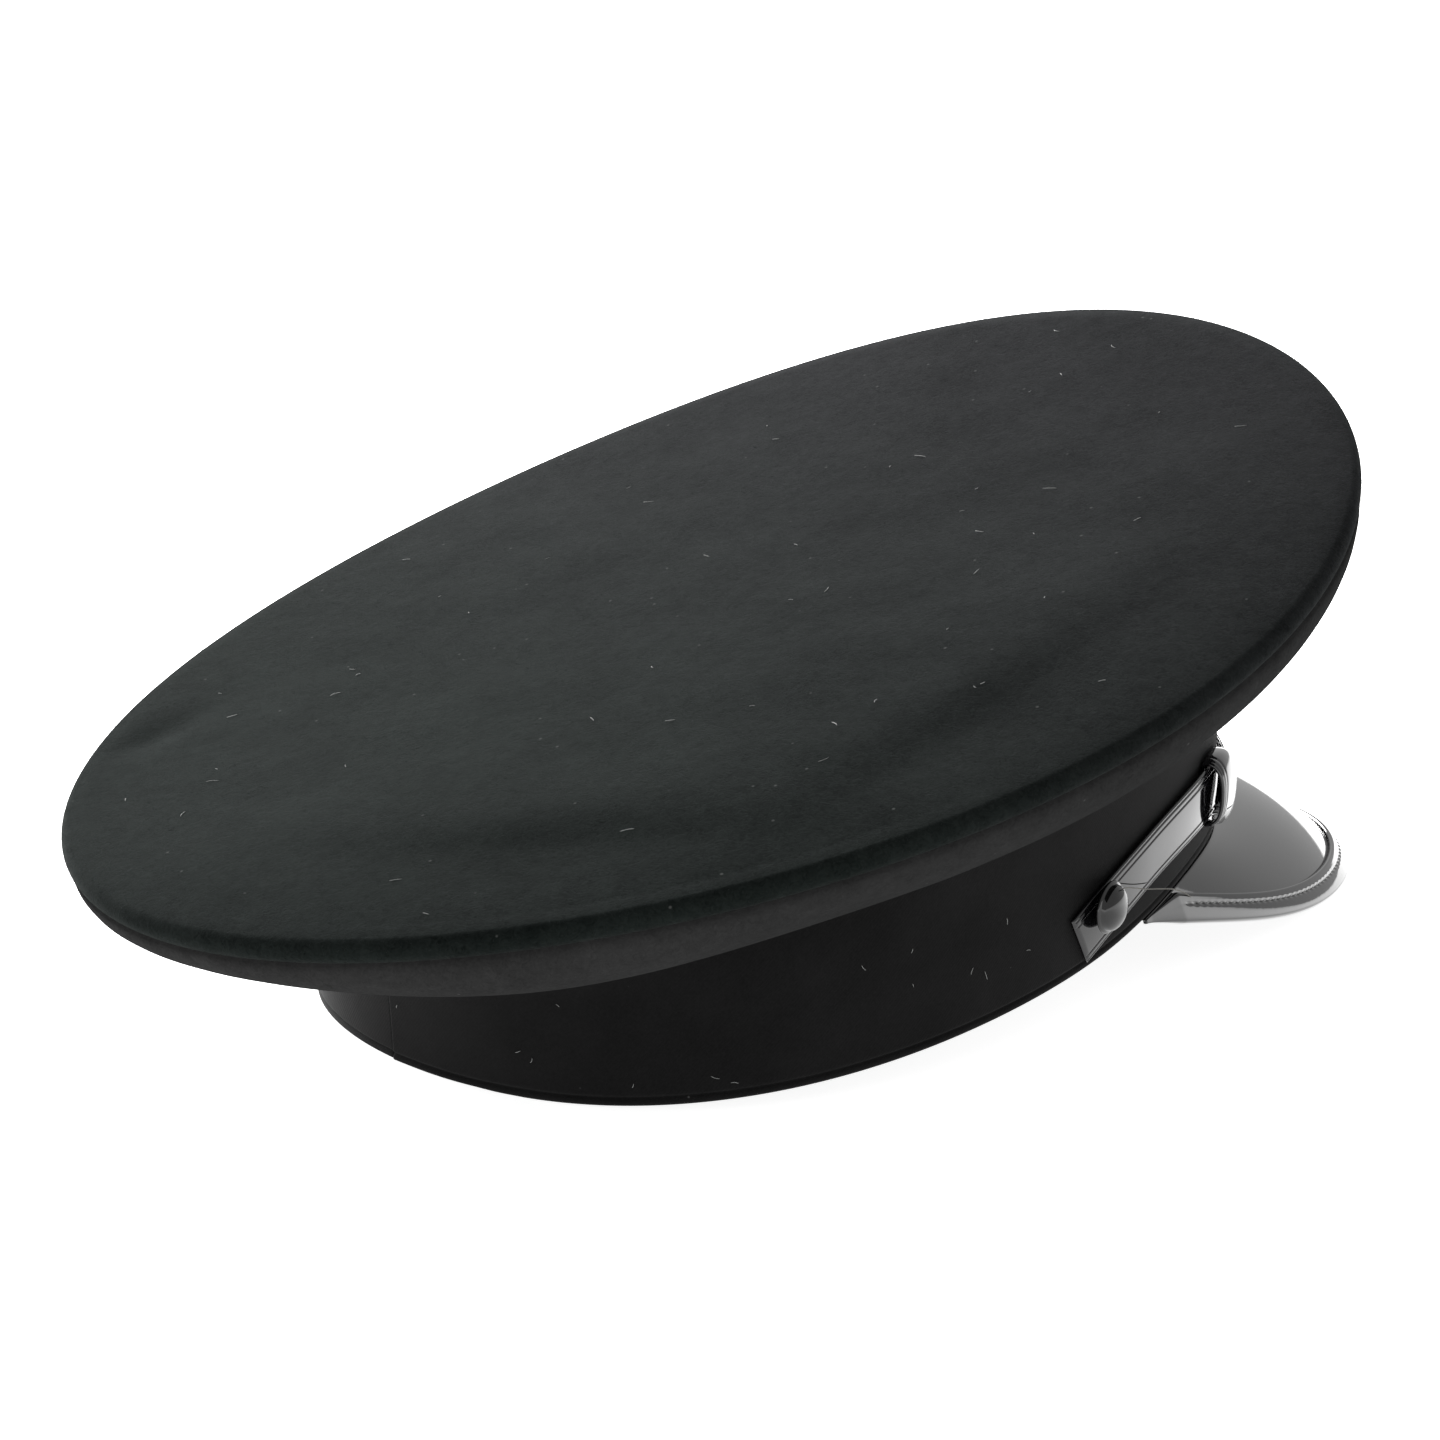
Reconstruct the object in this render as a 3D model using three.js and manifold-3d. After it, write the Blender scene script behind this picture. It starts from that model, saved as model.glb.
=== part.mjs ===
// Chauffeur cap: a wide felt crown on a cloth band, a patent peak with a bound edge,
// and a two-part chin strap with keepers and buttons.
// Millimetres, +Z up. The front of the cap faces -Y, the wearer's right is -X.
// The cap is drawn level on its band, then pitched to the angle at which it rests by itself.
import * as THREE from "three";
import { mergeVertices } from "three/addons/utils/BufferGeometryUtils.js";
import Module from "manifold-3d";

const wasm = await Module();
wasm.setup();

// Band: an egg-shaped oval wall, wider at the top than at the bottom
const BAND_HALF_LENGTH = 100;
const BAND_HALF_WIDTH = 85;
const BAND_HEIGHT = 36;
const BAND_WALL = 2.6;
const BAND_EGG = 0.08;
const BAND_FULLNESS = 0.043;
const BAND_TOP_WIDENING = 4.3;
const BAND_TOP_FORWARD = 4.5;
const BAND_SIDE_SAG = 1.73;
const BAND_HEM_ROUND = 0.8;

// The band's lower edge rises where the corners of the peak are sewn to it
const BAND_FOOT_RISE = 3.1;
const BAND_FOOT_ANGLE = 60;
const BAND_FOOT_SPREAD = 15;

// Rim of the crown: the centre line of its rolled edge
const RIM_HALF_LENGTH = 140.7;
const RIM_HALF_WIDTH = 126.2;
const RIM_EGG = -0.06;
const RIM_CENTRE_Y = 7.85;
const RIM_CENTRE_Z = 65.3;
const RIM_TILT = THREE.MathUtils.degToRad(7.8);
const RIM_SADDLE = 4.8;
const RIM_FRONT_LIFT = 1.0;
const RIM_ROLL_RADIUS = 2.5;

// Walls of the crown
const TOP_WALL = 1.7;
const SIDE_WALL = 1.6;
const TOP_DISH = 1.5;
const SHOULDER_RISE = 3.8;
const SHOULDER_HEADING = -115;
const SHOULDER_START = -0.3;
const SHOULDER_END = 0.8;
const SHOULDER_POWER = 6;
const SIDE_SEAM_IN = 0.3;
const SIDE_SEAM_DROP = 2.7;
const SIDE_FOOT_OUT = 0.6;
const SIDE_FOOT_IN = 1.9;
const SIDE_FOOT_THICKNESS = 1.7;
const SIDE_INNER_END = 0.93;

// Peak: a crescent of stiff patent sheet, its width measured along the sheet, which is moulded so
// that it steepens outwards
const PEAK_WIDTH = 63.4;
const PEAK_HALF_ANGLE = 72;
const PEAK_END_ANGLE = 69;
const PEAK_TAPER = 1.2;
const PEAK_SLOPE_FRONT = 37.3;
const PEAK_SLOPE_CORNER = 87;
const PEAK_SLOPE_POWER = 2.5;
const PEAK_BEND = 37;
const PEAK_FAN = 0.35;
const PEAK_SHEET = 1.6;
const PEAK_TUCK = 1.5;
const BINDING_WIDTH = 6.5;
const BINDING_SKIN = 1.0;
const BINDING_HEM_SHARE = 0.6;
const BINDING_END_SHARE = 0.95;

// Chin strap, keepers and buttons
const STRAP_WIDTH = 12.4;
const STRAP_EDGE = 0.7;
const STRAP_DOME = 1.0;
const STRAP_SHOULDER_SHARE = 0.6;
const STRAP_SHOULDER_DROP = 0.1;
const STRAP_FRONT_HEIGHT = 6.9;
const STRAP_FRONT_ANGLE = 36;
const STRAP_SIDE_ANGLE = 57;
const STRAP_CREST_ANGLE = 59.5;
const STRAP_CREST_HEIGHT = 17.95;
const STRAP_FALL = 0.015;
const STRAP_TAIL_ANGLE = 85.5;
const STRAP_INNER_END = 51;
const LAYER_DROP_START = 51.4;
const LAYER_DROP_END = 58.5;
const BUTTON_ANGLE = 81.3;
const BUTTON_ABOVE_MIDDLE = 2.9;
const BUTTON_TILT = THREE.MathUtils.degToRad(9);
const BUTTON_RADIUS = 5.4;
const BUTTON_HEIGHT = 3.8;
const BUTTON_BACK_SHARE = 0.8;
const BUTTON_EDGE_SHARE = 0.22;
const KEEPER_REAR_ANGLE = 57.4;
const KEEPER_FRONT_ANGLE = 50.4;
const KEEPER_REAR_HALF_WIDTH = 6.6;
const KEEPER_FRONT_HALF_WIDTH = 7.4;
const KEEPER_RISE = 3.5;
const KEEPER_WALL = 0.8;
const KEEPER_BACK_WALL = 0.6;
const KEEPER_ARCH_POWER = 0.8;
const KEEPER_BACK_POWER = 0.2;

// Fits and resting place
const GAP = 0.3;
const FOOT_FLAT = 0.45;
const STEEPEST_PITCH = THREE.MathUtils.degToRad(30);
const PITCH_ROUNDS = 40;
const FLOOR_BLOCK = 500;

// Steps of the faceted surfaces, and the angle across which a direction is measured
const RING_STEPS = 72;
const TOP_SHARES = [0.3, 0.55, 0.75, 0.88, 0.955];
const ROLL_TURNS = [80, 48, 16, -16, -44, -70].map(THREE.MathUtils.degToRad);
const SIDE_STEPS = 6;
const PEAK_STEPS = 3;
const PEAK_STEP_DEGREES = 3;
const STRAP_STEP_DEGREES = 4;
const KEEPER_STEPS = 20;
const KEEPER_STATIONS = 3;
const BUTTON_ROWS = 6;
const BUTTON_SIDES = 20;
const HALF_STEP = 0.5;

// How the side panel hangs, by angle from the front round by the wearer's left: how far it drops
// straight below the rim, and where it comes from as it reaches the band, out from the band's top
// edge and up from it
const SIDE_SHAPE = [
  { angle: 0, rimDrop: 15, footOut: 7, footUp: 9 },
  { angle: 40, rimDrop: 12, footOut: 8, footUp: 8 },
  { angle: 75, rimDrop: 10, footOut: 10, footUp: 5 },
  { angle: 110, rimDrop: 10, footOut: 12, footUp: 3 },
  { angle: 140, rimDrop: 10, footOut: 14, footUp: 1 },
  { angle: 165, rimDrop: 11, footOut: 15, footUp: 0 },
  { angle: 185, rimDrop: 8, footOut: 17, footUp: -2 },
  { angle: 202, rimDrop: 8, footOut: 18, footUp: -4 },
  { angle: 220, rimDrop: 16, footOut: 12, footUp: 4 },
  { angle: 245, rimDrop: 6, footOut: 7, footUp: 4 },
  { angle: 270, rimDrop: 9, footOut: 4, footUp: 6 },
  { angle: 300, rimDrop: 10, footOut: 4, footUp: 9 },
  { angle: 325, rimDrop: 15, footOut: 6, footUp: 9 },
  { angle: 360, rimDrop: 15, footOut: 7, footUp: 9 },
];

// Soft dents of the top: centre, half length along a heading, half widths on the right and on the
// left of it, depth
const DENTS = [
  { x: -63, y: 93, heading: 32, halfLength: 40, rightWidth: 9, leftWidth: 22, depth: 1.2 },
  { x: -100, y: 14, heading: 92, halfLength: 42, rightWidth: 9, leftWidth: 18, depth: 1.1 },
  { x: 77, y: 99, heading: 98, halfLength: 11, rightWidth: 6, leftWidth: 6, depth: 1.0 },
];

// Line of the chin strap, by angle from the front: distance of its back from the band, and how far
// its lower edge leans out, in degrees
const STRAP_LINE = [
  { angle: 0, standoff: 0.55, lean: 2 },
  { angle: 36, standoff: 0.55, lean: 2 },
  { angle: 57, standoff: 1.45, lean: 0 },
  { angle: 72, standoff: 0.55, lean: 2 },
  { angle: 90, standoff: 0.55, lean: 2 },
];

const FELT = { color: 0x202524, roughness: 0.95, metalness: 0 };
const BAND_CLOTH = { color: 0x151416, roughness: 0.9, metalness: 0 };
const PATENT = { color: 0x0b0b0c, roughness: 0.12, metalness: 0 };

const radians = THREE.MathUtils.degToRad;
const UP = new THREE.Vector3(0, 0, 1);

// Value of one column of a table at an angle, eased between its rows and alike at minus that angle
function column(table, angle, name) {
  const a = Math.min(Math.abs(angle), table[table.length - 1].angle);
  const i = Math.max(1, table.findIndex((row) => row.angle >= a));
  const [low, high] = [table[i - 1], table[i]];
  const t = THREE.MathUtils.smoothstep(a, low.angle, high.angle);
  return THREE.MathUtils.lerp(low[name], high[name], t);
}

// Point of the band's outer face at an angle from the front, in degrees, and a height
function bandPoint(angle, height) {
  const f = radians(angle);
  const share = height / BAND_HEIGHT;
  const full = 1 + BAND_FULLNESS * Math.sin(2 * f) ** 2;
  const halfWidth = BAND_HALF_WIDTH + BAND_TOP_WIDENING * share;
  return new THREE.Vector3(
    halfWidth * Math.sin(f) * (1 - BAND_EGG * Math.cos(f)) * full,
    -BAND_HALF_LENGTH * Math.cos(f) * full - BAND_TOP_FORWARD * share,
    height + BAND_SIDE_SAG * (Math.cos(2 * f) - 1),
  );
}

// Point of the rim's centre line at an angle from the front
function rimPoint(angle) {
  const f = radians(angle);
  const forward = RIM_HALF_LENGTH * Math.cos(f);
  return new THREE.Vector3(
    RIM_HALF_WIDTH * Math.sin(f) * (1 - RIM_EGG * Math.cos(f)),
    RIM_CENTRE_Y - forward * Math.cos(RIM_TILT),
    RIM_CENTRE_Z + forward * Math.sin(RIM_TILT) +
      RIM_SADDLE * Math.cos(2 * f) + RIM_FRONT_LIFT * Math.cos(3 * f),
  );
}

// Height of the band's lower edge at an angle
function bandFoot(angle) {
  const turned = Math.abs(THREE.MathUtils.euclideanModulo(angle + 180, 360) - 180);
  return BAND_FOOT_RISE * Math.exp(-(((turned - BAND_FOOT_ANGLE) / BAND_FOOT_SPREAD) ** 2));
}

// Level direction that points out of a closed outline at an angle
function outward(outline, angle) {
  const along = outline(angle + HALF_STEP).sub(outline(angle - HALF_STEP));
  return new THREE.Vector3().crossVectors(along, UP).normalize();
}

function bandOutward(angle, height) {
  return outward((a) => bandPoint(a, height), angle);
}

// Point beside the band: off its outer face by a distance, at a height
function besideBand(angle, height, off) {
  return bandPoint(angle, height).addScaledVector(bandOutward(angle, height), off);
}

// Depth of all dents at a point of the top
function dentDepth(x, y) {
  let depth = 0;
  for (const dent of DENTS) {
    const h = radians(dent.heading);
    const dx = x - dent.x;
    const dy = y - dent.y;
    const along = (dx * Math.cos(h) + dy * Math.sin(h)) / dent.halfLength;
    const beside = dy * Math.cos(h) - dx * Math.sin(h);
    const across = beside / (beside > 0 ? dent.leftWidth : dent.rightWidth);
    depth += dent.depth * Math.exp(-along * along - across * across);
  }
  return depth;
}

// Rise of the top towards one side, which ends in a shoulder that slopes down to the rim
function shoulderRise(x, y, share) {
  const h = radians(SHOULDER_HEADING);
  const towards = (x * Math.sin(h) - (y - RIM_CENTRE_Y) * Math.cos(h)) / RIM_HALF_LENGTH;
  const side = THREE.MathUtils.smoothstep(towards, SHOULDER_START, SHOULDER_END);
  return SHOULDER_RISE * side * (1 - share ** SHOULDER_POWER);
}

// Point of the crown's top face: a share of the way from its middle to the rim, where the
// saddle and the front lift of the rim fade towards the middle
function topPoint(angle, share) {
  const f = radians(angle);
  const rim = rimPoint(angle);
  const x = rim.x * share;
  const y = RIM_CENTRE_Y + (rim.y - RIM_CENTRE_Y) * share;
  const z = RIM_CENTRE_Z + RIM_HALF_LENGTH * Math.cos(f) * Math.sin(RIM_TILT) * share +
    RIM_SADDLE * Math.cos(2 * f) * share ** 2 + RIM_FRONT_LIFT * Math.cos(3 * f) * share ** 3;
  const relief = shoulderRise(x, y, share) - TOP_DISH * (1 - share ** 4) - dentDepth(x, y);
  return new THREE.Vector3(x, y, z + RIM_ROLL_RADIUS + relief);
}

// Closed body from points and triangles, with its faces turned outwards
function body(points, triangles) {
  const flat = points.flatMap((p) => [p.x, p.y, p.z]);
  let volume = 0;
  for (const [a, b, c] of triangles) {
    volume += points[a].dot(new THREE.Vector3().crossVectors(points[b], points[c]));
  }
  const turned = volume < 0 ? triangles.map(([a, b, c]) => [a, c, b]) : triangles;
  const geometry = new THREE.BufferGeometry();
  geometry.setAttribute("position", new THREE.Float32BufferAttribute(flat, 3));
  geometry.setIndex(turned.flat());
  return geometry;
}

// Triangles of the wall between one section and the next
function wall(from, to, count) {
  const triangles = [];
  for (let i = 0; i < count; i += 1) {
    const j = (i + 1) % count;
    triangles.push([from + i, from + j, to + j], [from + i, to + j, to + i]);
  }
  return triangles;
}

// Flat end of a sweep, where two runs of equal length face each other across the section
function cap(first, count, flip) {
  const triangles = [];
  for (let i = 0; i < count / 2 - 1; i += 1) {
    const [a, b] = [first + i, first + i + 1];
    const [c, d] = [first + count - 2 - i, first + count - 1 - i];
    triangles.push(flip ? [a, c, b] : [a, b, c], flip ? [a, d, c] : [a, c, d]);
  }
  return triangles;
}

// Body through closed sections that run once round the cap
function ring(sections) {
  const count = sections[0].length;
  const triangles = sections.flatMap((_, k) =>
    wall(k * count, ((k + 1) % sections.length) * count, count));
  return body(sections.flat(), triangles);
}

// Body through closed sections from one end to the other
function sweep(sections) {
  const count = sections[0].length;
  const last = (sections.length - 1) * count;
  const triangles = sections.slice(1).flatMap((_, k) => wall(k * count, (k + 1) * count, count));
  triangles.push(...cap(0, count, true), ...cap(last, count, false));
  return body(sections.flat(), triangles);
}

function ringAngles() {
  return Array.from({ length: RING_STEPS }, (_, k) => (360 / RING_STEPS) * k);
}

// Crown top: a felt sheet that rolls over the rim and ends in the seam below it
function crownTop() {
  const innerRadius = RIM_ROLL_RADIUS - TOP_WALL;
  const points = [];
  for (const angle of ringAngles()) {
    const rim = rimPoint(angle);
    const out = outward(rimPoint, angle);
    const roll = (radius) => (turn) => rim.clone()
      .addScaledVector(out, radius * Math.cos(turn))
      .addScaledVector(UP, radius * Math.sin(turn));
    points.push(...TOP_SHARES.map((share) => topPoint(angle, share)));
    points.push(...ROLL_TURNS.map(roll(RIM_ROLL_RADIUS)));
    points.push(...ROLL_TURNS.map(roll(innerRadius)).filter((_, k) => k % 2 > 0).reverse());
    const under = (share) => topPoint(angle, share).addScaledVector(UP, -TOP_WALL);
    points.push(...TOP_SHARES.map(under).reverse());
  }
  const count = points.length / RING_STEPS;
  const triangles = [];
  const middle = points.length;
  points.push(topPoint(0, 0), topPoint(0, 0).addScaledVector(UP, -TOP_WALL));
  for (let k = 0; k < RING_STEPS; k += 1) {
    const [from, to] = [k * count, ((k + 1) % RING_STEPS) * count];
    triangles.push(...wall(from, to, count).slice(0, -2));
    triangles.push([middle, from, to], [middle + 1, to + count - 1, from + count - 1]);
  }
  return body(points, triangles);
}

// Crown side: a panel that hangs below the rim and turns in to the top of the band
function crownSide() {
  const sections = ringAngles().map((angle) => {
    const rim = rimPoint(angle);
    const rimOut = outward(rimPoint, angle);
    const bandOut = bandOutward(angle, BAND_HEIGHT);
    const bandTop = bandPoint(angle, BAND_HEIGHT).addScaledVector(UP, GAP);
    const seam = rim.clone().addScaledVector(rimOut, SIDE_SEAM_IN).addScaledVector(UP, -SIDE_SEAM_DROP);
    const foot = bandTop.clone().addScaledVector(bandOut, SIDE_FOOT_OUT);
    const curve = new THREE.CubicBezierCurve3(
      seam,
      seam.clone().addScaledVector(UP, -column(SIDE_SHAPE, angle, "rimDrop")),
      foot.clone()
        .addScaledVector(bandOut, column(SIDE_SHAPE, angle, "footOut"))
        .addScaledVector(UP, column(SIDE_SHAPE, angle, "footUp")),
      foot,
    );
    const steps = Array.from({ length: SIDE_STEPS + 1 }, (_, k) => k / SIDE_STEPS);
    const outer = steps.map((t) => curve.getPoint(t));
    const side = new THREE.Vector3().crossVectors(UP, bandOut);
    const inner = steps.map((t) => {
      const u = t * SIDE_INNER_END;
      const inwards = new THREE.Vector3().crossVectors(curve.getTangent(u), side).normalize();
      return curve.getPoint(u).addScaledVector(inwards, SIDE_WALL);
    });
    const toe = bandTop.clone().addScaledVector(bandOut, -SIDE_FOOT_IN);
    const heel = toe.clone().addScaledVector(UP, SIDE_FOOT_THICKNESS);
    return [...outer, toe, heel, ...inner.reverse()];
  });
  return ring(sections);
}

// Band: the oval wall, with its lower hem rounded
function band() {
  const sections = ringAngles().map((angle) => {
    const foot = bandFoot(angle);
    const face = (height, off) => besideBand(angle, height, off);
    return [
      face(BAND_HEIGHT, 0),
      face(foot + BAND_HEM_ROUND, 0),
      face(foot, -BAND_HEM_ROUND),
      face(foot, BAND_HEM_ROUND - BAND_WALL),
      face(foot + BAND_HEM_ROUND, -BAND_WALL),
      face(BAND_HEIGHT, -BAND_WALL),
    ];
  });
  return ring(sections);
}

// Width of the peak's sheet at an angle
function peakWidth(angle) {
  const share = Math.abs(angle) / PEAK_HALF_ANGLE;
  return PEAK_WIDTH * Math.cos((Math.PI / 2) * share) ** PEAK_TAPER;
}

// Point of the peak's upper side at an angle and a share of the width there, with the heading
// outwards at that point: each section is an arc that starts under the band's lower edge
function peakSheet(angle, share) {
  const side = Math.abs(angle) / PEAK_HALF_ANGLE;
  const slope = THREE.MathUtils.lerp(PEAK_SLOPE_FRONT, PEAK_SLOPE_CORNER, side ** PEAK_SLOPE_POWER);
  const bend = radians(PEAK_BEND) * (1 - side ** 2);
  const fan = radians(angle * PEAK_FAN);
  const level = new THREE.Vector3(Math.sin(fan), -Math.cos(fan), 0);
  const heading = (turn) => level.clone()
    .multiplyScalar(Math.cos(turn))
    .addScaledVector(UP, -Math.sin(turn));
  const start = radians(slope) - bend / 2;
  const half = (bend * share) / 2;
  const chord = peakWidth(angle) * share * (half > 0 ? Math.sin(half) / half : 1);
  const root = besideBand(angle, bandFoot(angle), 0).addScaledVector(UP, -GAP);
  return { point: root.addScaledVector(heading(start + half), chord), heading: heading(start + 2 * half) };
}

// Upward face direction of the peak's sheet
function peakFace(angle, share) {
  const { heading } = peakSheet(angle, share);
  const along = peakSheet(angle + HALF_STEP, share).point.sub(peakSheet(angle - HALF_STEP, share).point);
  return new THREE.Vector3().crossVectors(heading, along).normalize();
}

// Angles of the sections along the peak, from one end to the other
function peakAngles() {
  const steps = Math.round((2 * PEAK_END_ANGLE) / PEAK_STEP_DEGREES);
  return Array.from({ length: steps + 1 }, (_, k) => -PEAK_END_ANGLE + PEAK_STEP_DEGREES * k);
}

// Share of the width at which the binding's inner edge lies
function bindingHem(angle) {
  return 1 - Math.min(BINDING_WIDTH / peakWidth(angle), BINDING_END_SHARE);
}

// Peak: the sheet, tucked under the band's lower edge
function peak() {
  const sections = peakAngles().map((angle) => {
    const hem = bindingHem(angle);
    const shares = Array.from({ length: PEAK_STEPS + 1 }, (_, k) => (hem * k) / PEAK_STEPS);
    shares.push(1);
    const off = (share, up) => peakSheet(angle, share).point.addScaledVector(peakFace(angle, share), up);
    const top = shares.map((share) => off(share, 0));
    const under = shares.map((share) => off(share, -PEAK_SHEET)).reverse();
    const tuck = besideBand(angle, bandFoot(angle), -PEAK_TUCK).addScaledVector(UP, -GAP);
    return [tuck, ...top, ...under, tuck.clone().addScaledVector(UP, -PEAK_SHEET)];
  });
  return sweep(sections);
}

// Binding: a rounded strip folded over the peak's outer edge
function peakBinding() {
  const sections = peakAngles().map((angle) => {
    const hem = bindingHem(angle);
    const { point: edge, heading } = peakSheet(angle, 1);
    const at = (share, up) => peakSheet(angle, share).point.addScaledVector(peakFace(angle, share), up);
    const nose = (along, up) => edge.clone()
      .addScaledVector(heading, along)
      .addScaledVector(peakFace(angle, 1), up);
    const [low, skin] = [-PEAK_SHEET, BINDING_SKIN];
    return [
      at(hem, GAP + skin * BINDING_HEM_SHARE),
      nose(GAP, GAP + skin),
      nose(GAP + skin, 0),
      nose(GAP + skin, low),
      nose(GAP, low - GAP - skin),
      at(hem, low - GAP - skin * BINDING_HEM_SHARE),
      at(hem, low - GAP),
      nose(GAP, low - GAP),
      nose(GAP, GAP),
      at(hem, GAP),
    ];
  });
  return sweep(sections);
}

// Height of the strap's middle above the band's lower edge: an arc along the side, which comes down
// to run level across the front
function strapHeight(angle) {
  const a = Math.abs(angle);
  const arc = STRAP_CREST_HEIGHT - STRAP_FALL * (a - STRAP_CREST_ANGLE) ** 2;
  const side = THREE.MathUtils.smoothstep(a, STRAP_FRONT_ANGLE, STRAP_SIDE_ANGLE);
  return THREE.MathUtils.lerp(STRAP_FRONT_HEIGHT, arc, side);
}

// Middle of the strap's back face at an angle, on one of its two layers
function strapPoint(angle, layer) {
  const lift = column(STRAP_LINE, angle, "standoff") + layer * (STRAP_DOME + GAP);
  return besideBand(angle, strapHeight(angle), lift);
}

// Directions at the strap's back: out of its face, and up across its width
function strapFrame(angle, layerAt) {
  const height = strapHeight(angle);
  const lean = radians(column(STRAP_LINE, angle, "lean"));
  const layer = layerAt(angle);
  const along = strapPoint(angle + HALF_STEP, layer).sub(strapPoint(angle - HALF_STEP, layer)).normalize();
  const wallUp = bandPoint(angle, height + HALF_STEP).sub(bandPoint(angle, height - HALF_STEP));
  const out = new THREE.Vector3().crossVectors(along, wallUp).normalize();
  out.applyAxisAngle(along, lean);
  const up = new THREE.Vector3().crossVectors(out, along).normalize();
  return { out, up };
}

// Strap between two angles: a flat strip with a gently domed face
function strap(from, to, layerAt) {
  const steps = Math.ceil((to - from) / STRAP_STEP_DEGREES);
  const half = STRAP_WIDTH / 2;
  const shoulder = half * STRAP_SHOULDER_SHARE;
  const sections = Array.from({ length: steps + 1 }, (_, k) => {
    const angle = from + ((to - from) * k) / steps;
    const { out, up } = strapFrame(angle, layerAt);
    const back = strapPoint(angle, layerAt(angle));
    const at = (across, off) => back.clone().addScaledVector(up, across).addScaledVector(out, off);
    return [
      at(-half, 0), at(-half, STRAP_EDGE), at(-shoulder, STRAP_DOME - STRAP_SHOULDER_DROP),
      at(0, STRAP_DOME),
      at(shoulder, STRAP_DOME - STRAP_SHOULDER_DROP), at(half, STRAP_EDGE), at(half, 0), at(0, 0),
    ];
  });
  return sweep(sections);
}

// The inner strap keeps one layer all the way
function innerLayer() {
  return 0;
}

// The outer strap lies on the inner one across the front and comes down inside its keeper
function outerLayer(angle) {
  return 1 - THREE.MathUtils.smoothstep(angle, LAYER_DROP_START, LAYER_DROP_END);
}

// Point of the keeper's loop at an angle from the front and a turn round the loop: an arch over
// the strap and a flat back behind it, inside or outside by the thickness of its wall
function keeperPoint(side, angle, turn, outside) {
  const share = (KEEPER_REAR_ANGLE - angle) / (KEEPER_REAR_ANGLE - KEEPER_FRONT_ANGLE);
  const arched = Math.cos(turn) > 0;
  const power = arched ? KEEPER_ARCH_POWER : KEEPER_BACK_POWER;
  const rounded = (value) => Math.sign(value) * Math.abs(value) ** power;
  const wallHere = arched ? KEEPER_WALL : KEEPER_BACK_WALL;
  const reach = (arched ? KEEPER_RISE : GAP) + (outside ? wallHere : 0);
  const halfWidth = THREE.MathUtils.lerp(KEEPER_REAR_HALF_WIDTH, KEEPER_FRONT_HALF_WIDTH, share);
  const { out, up } = strapFrame(side * angle, innerLayer);
  return strapPoint(side * angle, 0)
    .addScaledVector(out, reach * rounded(Math.cos(turn)))
    .addScaledVector(up, (halfWidth + (outside ? KEEPER_WALL : 0)) * rounded(Math.sin(turn)));
}

// Keeper: a loop round both layers of the strap
function keeper(side) {
  const angles = Array.from({ length: KEEPER_STATIONS }, (_, k) =>
    THREE.MathUtils.lerp(KEEPER_REAR_ANGLE, KEEPER_FRONT_ANGLE, k / (KEEPER_STATIONS - 1)));
  const sections = Array.from({ length: KEEPER_STEPS }, (_, k) => {
    const turn = (2 * Math.PI * (k + 0.5)) / KEEPER_STEPS;
    const inside = angles.map((angle) => keeperPoint(side, angle, turn, false));
    const outside = angles.map((angle) => keeperPoint(side, angle, turn, true));
    return [...inside, ...outside.reverse()];
  });
  return ring(sections);
}

// Button: a glossy dome with a rolled edge and a flat back, turned about +Z
function buttonGeometry() {
  const profile = [new THREE.Vector2(0, 0), new THREE.Vector2(BUTTON_RADIUS * BUTTON_BACK_SHARE, 0)];
  const edge = BUTTON_HEIGHT * BUTTON_EDGE_SHARE;
  for (let k = 0; k < BUTTON_ROWS; k += 1) {
    const turn = (Math.PI / 2) * (k / BUTTON_ROWS);
    profile.push(new THREE.Vector2(
      BUTTON_RADIUS * Math.cos(turn),
      edge + (BUTTON_HEIGHT - edge) * Math.sin(turn),
    ));
  }
  profile.push(new THREE.Vector2(0, BUTTON_HEIGHT));
  return new THREE.LatheGeometry(profile, BUTTON_SIDES).rotateX(Math.PI / 2);
}

// Button on the strap, tilted towards the front so that its front edge presses on the strap
function button(side) {
  const angle = side * BUTTON_ANGLE;
  const { out, up } = strapFrame(angle, innerLayer);
  const lift = BUTTON_RADIUS * BUTTON_BACK_SHARE * Math.sin(BUTTON_TILT);
  const mesh = new THREE.Mesh(buttonGeometry());
  mesh.position.copy(strapPoint(angle, 0))
    .addScaledVector(out, STRAP_DOME + GAP + lift)
    .addScaledVector(up, BUTTON_ABOVE_MIDDLE);
  mesh.quaternion.setFromUnitVectors(UP, out.applyAxisAngle(up, -side * BUTTON_TILT));
  return mesh;
}

// Lowest level that a body reaches once the cap is pitched, front up
function lowest(geometry, pitch) {
  const points = geometry.getAttribute("position");
  let low = Infinity;
  for (let i = 0; i < points.count; i += 1) {
    low = Math.min(low, points.getZ(i) * Math.cos(pitch) - points.getY(i) * Math.sin(pitch));
  }
  return low;
}

// Pitch at which the back of the band and the edge of the peak stand on one level
function restPitch(backGeometry, frontGeometry) {
  let [flat, steep] = [0, STEEPEST_PITCH];
  for (let round = 0; round < PITCH_ROUNDS; round += 1) {
    const pitch = (flat + steep) / 2;
    if (lowest(frontGeometry, pitch) < lowest(backGeometry, pitch)) flat = pitch;
    else steep = pitch;
  }
  return (flat + steep) / 2;
}

function toManifold(geometry) {
  return new wasm.Manifold(new wasm.Mesh({
    numProp: 3,
    vertProperties: new Float32Array(geometry.getAttribute("position").array),
    triVerts: new Uint32Array(geometry.getIndex().array),
  }));
}

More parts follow.
